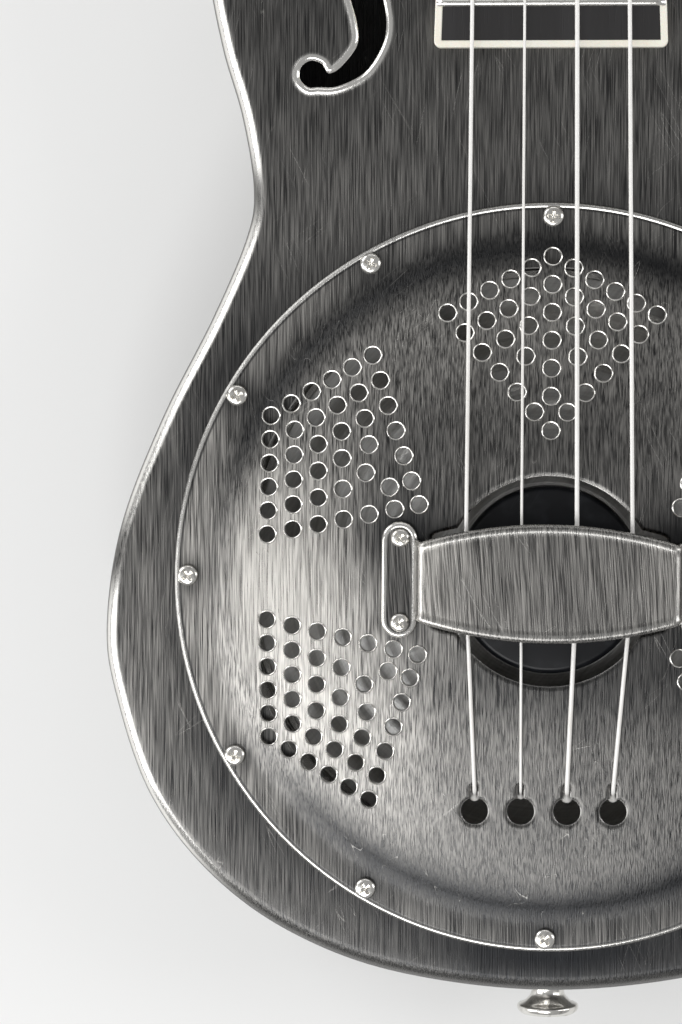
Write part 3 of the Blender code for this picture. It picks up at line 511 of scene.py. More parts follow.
@dataclass(frozen=True)
class AntiqueNickel(Finish):
    """Nickel plate, darkened and then brushed, with polished edges and painted highlights.

    The mesh's tone attribute says how far the dark skin is rubbed away, with painted light and shade
    mixed in, and its polish_and_sheen attribute where the metal is polished and where a highlight is painted
    bright.
    """

    brush: Brush = Brush.LENGTHWISE
    dark: Point3 = (0.020, 0.021, 0.023)
    light: Point3 = (0.62, 0.60, 0.565)
    bright: Point3 = (0.90, 0.885, 0.85)
    lean: float = 0.0

    def make(self) -> bpy.types.Material:
        """Builds the material.

        Returns:
            The material.
        """
        graph = Graph(self.name)
        fine = graph.noise(graph.coords((3900.0, 80.0, 3900.0), self.brush, self.lean), 2.0, 0.3)
        fine = fine.eased(0.28, 0.72)
        broad = graph.noise(graph.coords((1900.0, 34.0, 1900.0), self.brush, self.lean + 1.5), 3.0, 0.5)
        cloud = graph.noise(graph.coords((60.0, 26.0, 60.0), self.brush), 3.0, 0.6)
        lines = graph.hairlines((420.0, 12.0, 420.0), 14.0, 0.006, self.brush)
        lines = lines.at_least(graph.hairlines((380.0, 14.0, 380.0), -27.0, 0.005, self.brush) * 0.8)
        lines = lines.at_least(graph.hairlines((340.0, 15.0, 340.0), 52.0, 0.005, self.brush) * 0.7)
        # polish_and_sheen marks real polish and painted highlight; it pulls the colour towards the bright
        # nickel
        polish_and_sheen = graph.attribute("polish_and_sheen")
        # tone carries the rubbed dark skin and also painted light and shade
        tone = graph.attribute("tone")
        depth = (tone * 2.6 - 0.02).clipped() * 0.6
        wear = tone + (fine - 0.45) * depth + (broad - 0.5) * depth * 0.8
        wear = (wear + (cloud - 0.5) * 0.6 * (tone + 0.05)).clipped()
        colour = graph.mix(wear, self.dark, self.light)
        colour = graph.mix(lines * 0.3, colour, self.light)
        colour = graph.mix(polish_and_sheen.eased(0.05, 0.95), colour, self.bright)
        rough = 0.33 + (fine - 0.5) * 0.14 + (broad - 0.5) * 0.1 - lines * 0.1 - polish_and_sheen * 0.17
        height = fine * 0.6 + broad * 0.4 + lines * 0.4
        normal = graph.bump(height * (1 - polish_and_sheen * 0.9), 0.00006, 0.8)
        return graph.surface(Base_Color=colour, Metallic=1.0, Roughness=rough, Normal=normal)


@dataclass(frozen=True)
class PolishedNickel(Finish):
    """Bright nickel plate with a little tarnish."""

    colour: Point3 = (0.80, 0.785, 0.75)
    tarnish: Point3 = (0.36, 0.34, 0.31)

    def make(self) -> bpy.types.Material:
        """Builds the material.

        Returns:
            The material.
        """
        graph = Graph(self.name)
        cloud = graph.noise(graph.coords((420.0, 420.0, 420.0)), 4.0, 0.4)
        grain = graph.noise(graph.coords((5200.0, 900.0, 5200.0)), 2.0)
        colour = graph.mix(cloud.eased(0.5, 0.78) * 0.7, self.colour, self.tarnish)
        rough = 0.13 + cloud * 0.1 + grain * 0.06
        normal = graph.bump(grain + cloud * 0.5, 0.00003, 0.2)
        return graph.surface(Base_Color=colour, Metallic=1.0, Roughness=rough, Normal=normal)


@dataclass(frozen=True)
class SpunMetal(Finish):
    """Spun sheet with turning lines about the coverplate's axis."""

    centre_y: float = 0.0
    colour: Point3 = (0.90, 0.895, 0.88)
    shade: Point3 = (0.46, 0.455, 0.445)

    def make(self) -> bpy.types.Material:
        """Builds the material.

        Returns:
            The material.
        """
        graph = Graph(self.name)
        place = graph.coords((1.0, 1.0, 1.0), origin=(0.0, self.centre_y, 0.0))
        axes = graph.node("ShaderNodeSeparateXYZ", {}, {0: place})
        x, y = (Value(graph, axes.outputs[i]) for i in (0, 1))
        radius = (x * x + y * y) ** 0.5
        rings = graph.node("ShaderNodeTexNoise", {"noise_dimensions": "1D"},
                           {"W": radius * 1500.0, "Scale": 1.0, "Detail": 3.0})
        lines = Value(graph, rings.outputs["Fac"])
        marks = graph.noise(graph.coords((1500.0, 150.0, 300.0), turn=40.0), 2.0)
        cloud = graph.noise(graph.coords((70.0, 70.0, 70.0)), 3.0)
        blend = lines * 0.6 + marks * 0.7 - 0.2 + (cloud - 0.5) * 0.5
        colour = graph.mix(blend.clipped(), self.shade, self.colour)
        rough = 0.32 + lines * 0.14 + (marks - 0.5) * 0.12
        normal = graph.bump(lines + marks * 0.7, 0.00008, 0.5)
        return graph.surface(Base_Color=colour, Metallic=1.0, Roughness=rough, Normal=normal)


@dataclass(frozen=True)
class Lacquer(Finish):
    """Black lacquer over wood, dusty and a little scuffed."""

    colour: Point3 = (0.006, 0.0065, 0.008)
    dust: Point3 = (0.03, 0.033, 0.038)

    def make(self) -> bpy.types.Material:
        """Builds the material.

        Returns:
            The material.
        """
        graph = Graph(self.name)
        cloud = graph.noise(graph.coords((160.0, 160.0, 160.0)), 4.0)
        scuff = graph.hairlines((900.0, 60.0, 900.0), 33.0, 0.02, Brush.LENGTHWISE)
        colour = graph.mix(cloud.eased(0.45, 0.8) * 0.5 + scuff * 0.4, self.colour, self.dust)
        rough = 0.26 + cloud * 0.1
        normal = graph.bump(cloud + scuff, 0.00005, 0.2)
        return graph.surface(Base_Color=colour, Roughness=rough, Normal=normal, Specular_IOR_Level=0.22)


@dataclass(frozen=True)
class Wood(Finish):
    """Wood with its grain along the instrument."""

    early: Point3 = (0.62, 0.45, 0.26)
    late: Point3 = (0.36, 0.22, 0.10)
    rough: float = 0.45
    coat: float = 0.0
    pores: float = 0.4

    def make(self) -> bpy.types.Material:
        """Builds the material.

        Returns:
            The material.
        """
        graph = Graph(self.name)
        figure = graph.noise(graph.coords((95.0, 5.0, 95.0)), 4.0, 1.2)
        grain = graph.noise(graph.coords((900.0, 22.0, 900.0)), 3.0)
        pore = graph.noise(graph.coords((2200.0, 90.0, 2200.0)), 1.0).eased(0.62, 0.72)
        blend = (figure.eased(0.35, 0.65) * 0.6 + grain * 0.5 - 0.05).clipped()
        colour = graph.mix(pore * self.pores, graph.mix(blend, self.early, self.late),
                           tuple(c * 0.35 for c in self.late))
        rough = self.rough + (grain - 0.5) * 0.15 + pore * 0.1
        normal = graph.bump(grain * 0.5 - pore, 0.00008, 0.3)
        return graph.surface(Base_Color=colour, Roughness=rough, Normal=normal, Coat_Weight=self.coat,
                             Coat_Roughness=0.12)


@dataclass(frozen=True)
class Celluloid(Finish):
    """Cream or pearly plastic, or bone, with faint clouds."""

    colour: Point3 = (0.86, 0.83, 0.74)
    cloud: Point3 = (0.74, 0.68, 0.55)
    scale: float = 120.0
    contrast: float = 0.35
    rough: float = 0.28
    coat: float = 0.2

    def make(self) -> bpy.types.Material:
        """Builds the material.

        Returns:
            The material.
        """
        graph = Graph(self.name)
        cloud = graph.noise(graph.coords((self.scale, self.scale * 0.4, self.scale)), 4.0, 1.5)
        speck = graph.noise(graph.coords((1900.0, 1900.0, 1900.0)), 1.0)
        colour = graph.mix(cloud.eased(0.4, 0.7) * self.contrast, self.colour, self.cloud)
        rough = self.rough + (speck - 0.5) * 0.1
        normal = graph.bump(cloud * 0.3 + speck * 0.3, 0.00003, 0.2)
        return graph.surface(Base_Color=colour, Roughness=rough, Normal=normal, Coat_Weight=self.coat,
                             Coat_Roughness=0.1, Subsurface_Weight=0.05, Subsurface_Scale=0.002)


@dataclass(frozen=True)
class Nylon(Finish):
    """Drawn nylon, pale and glossy."""

    colour: Point3 = (0.85, 0.835, 0.81)
    shade: Point3 = (0.62, 0.59, 0.54)

    def make(self) -> bpy.types.Material:
        """Builds the material.

        Returns:
            The material.
        """
        graph = Graph(self.name)
        drawn = graph.noise(graph.coords((900.0, 14.0, 900.0)), 2.0)
        colour = graph.mix(drawn.eased(0.45, 0.75) * 0.5, self.colour, self.shade)
        rough = 0.2 + drawn * 0.12
        normal = graph.bump(drawn, 0.00002, 0.2)
        return graph.surface(Base_Color=colour, Roughness=rough, Normal=normal, Coat_Weight=0.4,
                             Coat_Roughness=0.08)


@dataclass(frozen=True)
class Palette:
    """Every finish on the instrument."""

    face: Finish = AntiqueNickel("antique_nickel", "antique_nickel")
    band: Finish = AntiqueNickel("antique_nickel_band", "antique_nickel", brush=Brush.AROUND)
    rest: Finish = AntiqueNickel("antique_nickel_rest", "antique_nickel", lean=-4.0)
    inner: Finish = PolishedNickel("inner_nickel", "inner_nickel", (0.52, 0.51, 0.49), (0.2, 0.19, 0.18))
    nickel: Finish = PolishedNickel("bright_nickel", "bright_nickel")
    brass: Finish = PolishedNickel("cut_brass", "gear_brass", (0.78, 0.56, 0.24), (0.32, 0.2, 0.08))
    black: Finish = Lacquer("black_lacquer", "black_lacquer")
    maple: Finish = Wood("saddle_maple", "saddle_maple", (0.66, 0.49, 0.29), (0.46, 0.31, 0.16))
    stick: Finish = Wood("stick_maple", "stick_maple", (0.6, 0.45, 0.27), (0.42, 0.29, 0.15))
    neck: Finish = Wood("neck_mahogany", "neck_mahogany", (0.150, 0.052, 0.024), (0.060, 0.020, 0.011),
                        0.3, 0.5)
    board: Finish = Wood("blackwood", "blackwood", (0.020, 0.019, 0.020), (0.009, 0.008, 0.008), 0.42, 0.0, 0.6)
    veneer: Finish = Wood("head_veneer", "blackwood", (0.016, 0.014, 0.014), (0.008, 0.007, 0.007), 0.25, 0.6)
    binding: Finish = Celluloid("ivory_binding", "ivory_binding")
    bone: Finish = Celluloid("bone", "bone", (0.86, 0.83, 0.74), (0.78, 0.72, 0.6), 300.0, 0.3, 0.35, 0.0)
    pearl: Finish = Celluloid("pearl", "pearl_button", (0.90, 0.89, 0.84), (0.66, 0.65, 0.6), 420.0, 0.8,
                              0.2, 0.6)
    nylon: Finish = Nylon("string_nylon", "string_nylon")


# ---------------------------------------------------------------------------------------------------
# Meshes


class Sketch:
    """A mesh under construction, in millimetres in the instrument's frame."""

    MARKS = ("tone", "polish_and_sheen")

    def __init__(self) -> None:
        """Starts an empty sketch."""
        self.points: list[Point3] = []
        self.faces: list[Loop] = []
        self.marks: dict[str, list[float]] = {mark: [] for mark in self.MARKS}
        self.runs: dict[int, list[Point2]] = {}

    def add(self, points: Sequence[Sequence[float]], tone: float | Sequence[float] = 0.5,
            polish_and_sheen: float | Sequence[float] = 0.0) -> Loop:
        """Adds points.

        Args:
            points: their places.
            tone: how light the metal's colour is there, rubbed skin with painted light and shade, for all
                points or for each.
            polish_and_sheen: how polished it is there, with painted highlight.

        Returns:
            Their numbers.
        """
        first = len(self.points)
        self.points.extend(tuple(p) for p in points)
        for mark, value in (("tone", tone), ("polish_and_sheen", polish_and_sheen)):
            values = [value] * len(points) if isinstance(value, (int, float)) else value
            self.marks[mark].extend(values)
        return list(range(first, len(self.points)))

    def bridge(self, first: Loop, second: Loop, closed: bool = True,
               run: tuple[Sequence[float], float, float] | None = None) -> None:
        """Joins two loops of the same length with quads.

        Args:
            first: one loop.
            second: the next.
            closed: whether the loops return to their start.
            run: for a UV map, the lengths along the loop and the two loops' other coordinate.
        """
        count = len(first)
        for i in range(count if closed else count - 1):
            k = (i + 1) % count
            corners = [first[i], first[k], second[k], second[i]]
            if run is not None:
                along, low, high = run
                self.runs[len(self.faces)] = [(along[i], low), (along[i + 1], low), (along[i + 1], high),
                                              (along[i], high)]
            self.faces.append(list(dict.fromkeys(corners)))

    def turned(self, profile: Sequence[Point2], sides: int, place: Matrix | None = None, ring: bool = False,
               flat: float = 1.0, tone: float = 0.5, polish_and_sheen: float = 0.0) -> None:
        """Adds a solid of revolution.

        Args:
            profile: (radius, height) points; 0 closes an end, and a ring's profile is a closed loop.
            sides: how many corners each circle has.
            place: from the solid's own frame, its axis on Z, to the instrument's.
            ring: whether the profile is closed.
            flat: how far the circles are squeezed along Y.
            tone: the tone mark.
            polish_and_sheen: the mark for polish and painted highlight.
        """
        matrix = place or Matrix()
        loops = []
        for radius, height in profile:
            corners = [(0.0, 0.0)] if radius == 0 else circle(radius, sides)
            loop = self.add([matrix @ Vector((x, y * flat, height)) for x, y in corners], tone, polish_and_sheen)
            loops.append(loop * sides if radius == 0 else loop)
        for lower, upper in zip(loops, loops[1:] + (loops[:1] if ring else [])):
            for i in range(sides):
                k = (i + 1) % sides
                corners = dict.fromkeys((lower[i], lower[k], upper[k], upper[i]))
                if len(corners) > 2:
                    self.faces.append(list(corners))

    def build(self, name: str, finish: Finish, datum: Datum, closed: bool = True) -> bpy.types.Object:
        """Makes the object.

        Args:
            name: its name.
            finish: its finish.
            datum: the instrument's place.
            closed: whether to turn the faces of closed shells outwards.

        Returns:
            The object, at the origin, in metres.
        """
        mesh = bpy.data.meshes.new(name)
        mesh.from_pydata([datum.world(p) for p in self.points], [], self.faces)
        for mark, values in self.marks.items():
            mesh.attributes.new(mark, "FLOAT", "POINT").data.foreach_set("value", values)
        if self.runs:
            layer = mesh.uv_layers.new(name="run")
            for number, corners in self.runs.items():
                for corner, place in zip(mesh.polygons[number].loop_indices, corners):
                    layer.data[corner].uv = place
        if closed:
            work = bmesh.new()
            work.from_mesh(mesh)
            bmesh.ops.recalc_face_normals(work, faces=work.faces)
            work.to_mesh(mesh)
            work.free()
        mesh.materials.append(finish.material())
        piece = bpy.data.objects.new(name, mesh)
        bpy.context.scene.collection.objects.link(piece)
        return piece


def prism(sketch: Sketch, outer: list[Point2], holes: list[list[Point2]], low: float, high: float,
          place: Matrix | None = None) -> None:
    """Adds a flat shape with holes, raised from low to high.

    Args:
        sketch: where it goes.
        outer: its outline.
        holes: loops that are cut out.
        low: the lower face's height.
        high: the upper face's height.
        place: from the shape's own frame to the instrument's.
    """
    matrix = place or Matrix()
    flat, faces, loops = cut_sheet(outer, holes, 1e4)
    upper = sketch.add([matrix @ Vector((x, y, high)) for x, y in flat])
    lower = sketch.add([matrix @ Vector((x, y, low)) for x, y in flat])
    sketch.faces += [[upper[i] for i in face] for face in faces]
    sketch.faces += [[lower[i] for i in reversed(face)] for face in faces]
    for loop in loops:
        sketch.bridge([upper[i] for i in loop], [lower[i] for i in loop])


def soften(piece: bpy.types.Object, width: float, segments: int = 2, angle: float = 32.0) -> None:
    """Rounds a piece's edges, the width in millimetres.

    Args:
        piece: the piece.
        width: how far the edges are cut back, in millimetres.
        segments: how many steps round each edge.
        angle: edges sharper than this are rounded, in degrees.
    """
    bevel = piece.modifiers.new("edges", "BEVEL")
    bevel.width = width * MM
    bevel.segments = segments
    bevel.limit_method = "ANGLE"
    bevel.angle_limit = math.radians(angle)
    bevel.harden_normals = False


def thicken(piece: bpy.types.Object, thickness: float, inner_tone: float) -> None:
    """Gives a sheet its thickness inwards and keeps the result as its mesh.

    Args:
        piece: the sheet.
        thickness: its thickness in millimetres.
        inner_tone: the tone of its inner side.
    """
    solidify = piece.modifiers.new("sheet", "SOLIDIFY")
    solidify.thickness = thickness * MM
    solidify.offset = -1.0
    solidify.use_even_offset = True
    outside = len(piece.data.vertices)
    thick = bpy.data.meshes.new_from_object(piece.evaluated_get(bpy.context.evaluated_depsgraph_get()))
    piece.modifiers.remove(solidify)
    piece.data = thick
    for mark in thick.attributes["tone"].data[outside:]:
        mark.value = inner_tone


def finish_piece(piece: bpy.types.Object, nodes: Sequence[str], body: str = ROOT,
                 crease: float = 35.0) -> bpy.types.Object:
    """Shades a piece and hands it to the frame.

    Args:
        piece: the piece.
        nodes: the CAD nodes that it stands for.
        body: the body that it moves with.
        crease: edges sharper than this stay sharp, in degrees.

    Returns:
        The piece.
    """
    piece.data.shade_smooth()
    piece.data.set_sharp_from_angle(angle=math.radians(crease))
    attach(piece, body)
    if nodes:
        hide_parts(*nodes)
    LOG.info("%s rides on %s", piece.name, body)
    return piece


class Repeater(Tree):
    """A Geometry Nodes tree that sets copies of a template on points."""

    def __init__(self) -> None:
        """Builds the tree."""
        super().__init__(bpy.data.node_groups.new("repeat_on_points", "GeometryNodeTree"))
        self.keys: dict[str, str] = {}
        sockets = (("Points", "NodeSocketGeometry"), ("Template", "NodeSocketObject"),
                   ("Finish", "NodeSocketMaterial"), ("Spin", "NodeSocketFloat"), ("Seed", "NodeSocketInt"))
        for name, kind in sockets:
            item = self.tree.interface.new_socket(name, in_out="INPUT", socket_type=kind)
            self.keys[name] = item.identifier
        self.tree.interface.new_socket("Copies", in_out="OUTPUT", socket_type="NodeSocketGeometry")
        given = self.node("NodeGroupInput", {}, {})
        facing = self.node("GeometryNodeInputNamedAttribute", {"data_type": "FLOAT_VECTOR"},
                            {"Name": "facing"})
        size = self.node("GeometryNodeInputNamedAttribute", {"data_type": "FLOAT_VECTOR"}, {"Name": "size"})
        upright = self.node("FunctionNodeAlignRotationToVector", {"axis": "Z"}, {"Vector": facing.outputs[0]})
        chance = self.node("FunctionNodeRandomValue", {"data_type": "FLOAT"}, {2: 0.0, 3: math.tau})
        self.tree.links.new(given.outputs["Seed"], chance.inputs["Seed"])
        turn = self.node("ShaderNodeMath", {"operation": "MULTIPLY"}, {0: chance.outputs[1],
                                                                       1: given.outputs["Spin"]})
        spin = self.node("FunctionNodeAxisAngleToRotation", {}, {"Axis": (0, 0, 1), "Angle": turn.outputs[0]})
        both = self.node("FunctionNodeRotateRotation", {"rotation_space": "LOCAL"},
                          {0: upright.outputs[0], 1: spin.outputs[0]})
        template = self.node("GeometryNodeObjectInfo", {}, {"Object": given.outputs["Template"]})
        copies = self.node("GeometryNodeInstanceOnPoints", {},
                            {"Points": given.outputs["Points"], "Instance": template.outputs["Geometry"],
                             "Rotation": both.outputs[0], "Scale": size.outputs[0]})
        real = self.node("GeometryNodeRealizeInstances", {}, {0: copies.outputs[0]})
        dressed = self.node("GeometryNodeSetMaterial", {}, {"Geometry": real.outputs[0],
                                                            "Material": given.outputs["Finish"]})
        self.node("NodeGroupOutput", {}, {0: dressed.outputs[0]})

    def copies(self, name: str, template: Sketch, places: Sequence[Point3], finish: Finish, datum: Datum,
               facing: Sequence[Point3] | None = None, sizes: Sequence[Point3] | None = None,
               spin: float = 0.0, seed: int = 1) -> bpy.types.Object:
        """Bakes copies of a template into one plain mesh.

        Args:
            name: the piece's name.
            template: the shape, about its own origin, in millimetres.
            places: where the copies go in the instrument's frame.
            finish: their finish.
            datum: the instrument's place.
            facing: each copy's own +Z; up when left out.
            sizes: each copy's scale; full size when left out.
            spin: 1 for a random turn of each copy about its axis.
            seed: the seed of those turns.

        Returns:
            The piece.
        """
        still = Datum(0.0, 0.0, 0.0)
        master = template.build(name + "_template", finish, still)
        master.data.shade_smooth()
        master.data.set_sharp_from_angle(angle=math.radians(35))
        mesh = bpy.data.meshes.new(name + "_points")
        mesh.from_pydata([datum.world(p) for p in places], [], [])
        for key, values, default in (("facing", facing, (0, 0, 1)), ("size", sizes, (1, 1, 1))):
            rows = np.array(values if values is not None else [default] * len(places), np.float32)
            mesh.attributes.new(key, "FLOAT_VECTOR", "POINT").data.foreach_set("vector", rows.ravel())
        host = bpy.data.objects.new(name + "_points", mesh)
        bpy.context.scene.collection.objects.link(host)
        modifier = host.modifiers.new("repeat", "NODES")
        modifier.node_group = self.tree
        modifier[self.keys["Template"]] = master
        modifier[self.keys["Finish"]] = finish.material()
        modifier[self.keys["Spin"]] = spin
        modifier[self.keys["Seed"]] = seed
        evaluated = host.evaluated_get(bpy.context.evaluated_depsgraph_get())
        baked = bpy.data.meshes.new_from_object(evaluated)
        piece = bpy.data.objects.new(name, baked)
        bpy.context.scene.collection.objects.link(piece)
        for helper in (host, master):
            bpy.data.objects.remove(helper, do_unlink=True)
        return piece


@dataclass
class Assembly:
    """A sub-assembly of the instrument.

    Attributes:
        datum: the instrument's place.
        palette: the finishes.
        repeater: the tree that makes what repeats.
    """

    datum: Datum
    palette: Palette
    repeater: Repeater

    def build(self) -> None:
        """Builds and dresses every piece."""
        raise NotImplementedError

    def simple(self, name: str, sketch: Sketch, finish: Finish, nodes: Sequence[str], body: str = ROOT,
               edges: float = 0.0, crease: float = 35.0) -> bpy.types.Object:
        """Makes a closed piece, with its edges rounded by so many millimetres.

        Args:
            name: the piece's name.
            sketch: its mesh.
            finish: its finish.
            nodes: the CAD nodes that it stands for.
            body: the body that it moves with.
            edges: how far its edges are rounded, in millimetres.
            crease: edges sharper than this stay sharp, in degrees.

        Returns:
            The finished piece.
        """
        piece = sketch.build(name, finish, self.datum)
        if edges:
            soften(piece, edges)
        return finish_piece(piece, nodes, body, crease)


# ---------------------------------------------------------------------------------------------------
# The metal body


@dataclass(frozen=True)
class PatinaAndLight:
    """The tone over the face and the coverplate, 0 to 1: rubbed dark skin with painted light and shade.

    Attributes:
        face: the body's face.
        plate: the coverplate away from its patches.
        wear_and_sheen_patches: lighter coverplate patches, wear and painted highlight; each has amount, centre,
            half widths.
        face_wear_and_light_patches: patches of the face, wear and painted light, in the same form; a negative
            one is painted shade.
        shades: painted shade on the coverplate, mostly round the hand rest's feet and the opening's ears, in
            the same form.
    """

    face: float = 0.12
    plate: float = 0.19
    wear_and_sheen_patches: tuple[tuple[float, Point2, Point2], ...] = (
        (0.66, (-69.0, 2.0), (15.0, 26.0)), (0.28, (-62.0, -52.0), (16.0, 13.0)),
        (0.24, (-46.0, -22.0), (16.0, 20.0)), (0.13, (-10.0, 62.0), (44.0, 15.0)),
        (0.10, (-56.0, 50.0), (16.0, 14.0)))
    face_wear_and_light_patches: tuple[tuple[float, Point2, Point2], ...] = (
        (0.06, (20.0, 118.0), (26.0, 26.0)), (0.07, (-50.0, 92.0), (24.0, 16.0)),
        (0.10, (-100.0, -14.0), (9.0, 42.0)), (-0.08, (20.0, -100.0), (50.0, 8.0)))
    shades: tuple[tuple[float, Point2, Point2], ...] = (
        (0.6, (-40.0, 10.0), (7.0, 17.0)), (0.35, (-72.0, 44.0), (9.0, 12.0)), (0.3, (-8.0, 36.0), (30.0, 9.0)),
        (0.6, (4.0, -24.0), (28.0, 8.0)), (0.5, (-62.0, -58.0), (12.0, 12.0)), (0.8, (-33.0, 12.0), (9.0, 6.0)),
        (0.85, (33.0, 12.0), (9.0, 6.0)), (0.6, (40.0, -20.0), (14.0, 14.0)),
        (0.25, (0.0, -66.0), (50.0, 20.0)))

    @staticmethod
    def spread(place: Point2, spots: Sequence[tuple[float, Point2, Point2]]) -> list[float]:
        """How much of each spot reaches a place."""
        return [amount * math.exp(-(((place[0] - centre[0]) / size[0]) ** 2
                                    + ((place[1] - centre[1]) / size[1]) ** 2) / 2)
                for amount, centre, size in spots]

    def on_face(self, place: Point2) -> float:
        """The body's face is darkest next to the coverplate, with patches of wear and painted light and shade.

        Args:
            place: the place on the instrument.

        Returns:
            The tone, from 0 to 1.
        """
        gap = math.hypot(*place) - 94.0
        value = self.face * (1 - 0.5 * math.exp(-(gap / 5.0) ** 2))
        # patches of wear with painted light and, where negative, painted shade
        return value + sum(self.spread(place, self.face_wear_and_light_patches))

    @staticmethod
    def edge_highlight(place: Point2) -> float:
        """Painted highlight on the body's rolled edge, weak near y = 6, at the waist and towards the tail."""
        unlit = 0.75 * math.exp(-((place[1] - 6.0) / 9.0) ** 2) + 0.6 * math.exp(-((place[1] - 96.0) / 8.0) ** 2)
        return max(0.85 - unlit, 0.1) * (0.3 + 0.7 * eased_fall(-place[1], 62.0, 84.0))

    def on_plate(self, place: Point2, screws: kdtree.KDTree) -> float:
        """The coverplate is worn in patches, with painted highlight, and carries painted shade along its step
        and round the hand rest; it is darker round its screws.

        Args:
            place: the place on the instrument.
            screws: a search tree over the screws' centres.

        Returns:
            The tone, from 0.015 to 1.
        """
        x, y = place
        radius = math.hypot(x, y)
        # worn patches, the largest of them a painted highlight on the left
        value = self.plate + sum(self.spread(place, self.wear_and_sheen_patches))
        # painted shade round and under the hand rest
        for shade in self.spread(place, self.shades):
            value *= 1 - shade
        # painted shade along the step, weaker on the left where the lamps catch it
        turn = math.degrees(math.atan2(y, x)) % 360
        depth = 0.3 + 0.58 * (1 - math.exp(-((turn - 196.0) / 26.0) ** 2))
        value *= 1 - depth * math.exp(-((radius - 82.5) / 5.5) ** 2)
        value *= 1 - 0.8 * math.exp(-(screws.find((x, y, 0))[2] / 4.6) ** 2)
        return min(max(value, 0.015), 1.0)


def eased_fall(distance: float, near: float, far: float) -> float:
    """1 up to near, 0 beyond far, and a smooth step between them."""
    share = min(max((far - distance) / (far - near), 0.0), 1.0)
    return share * share * (3 - 2 * share)


def around(loop: list[Point2], offsets: Sequence[float]) -> list[Point2]:
    """Points at several distances outside a hole's loop, where the hole leaves room for them.

    Args:
        loop: the hole's loop.
        offsets: the distances in millimetres.

    Returns:
        The points.
    """
    tree = near_tree(loop)
    points = []
    for offset in offsets:
        for point in inset(anticlockwise(loop), -offset):
            if tree.find((point[0], point[1], 0))[2] > offset * 0.85:
                points.append(point)
    return points


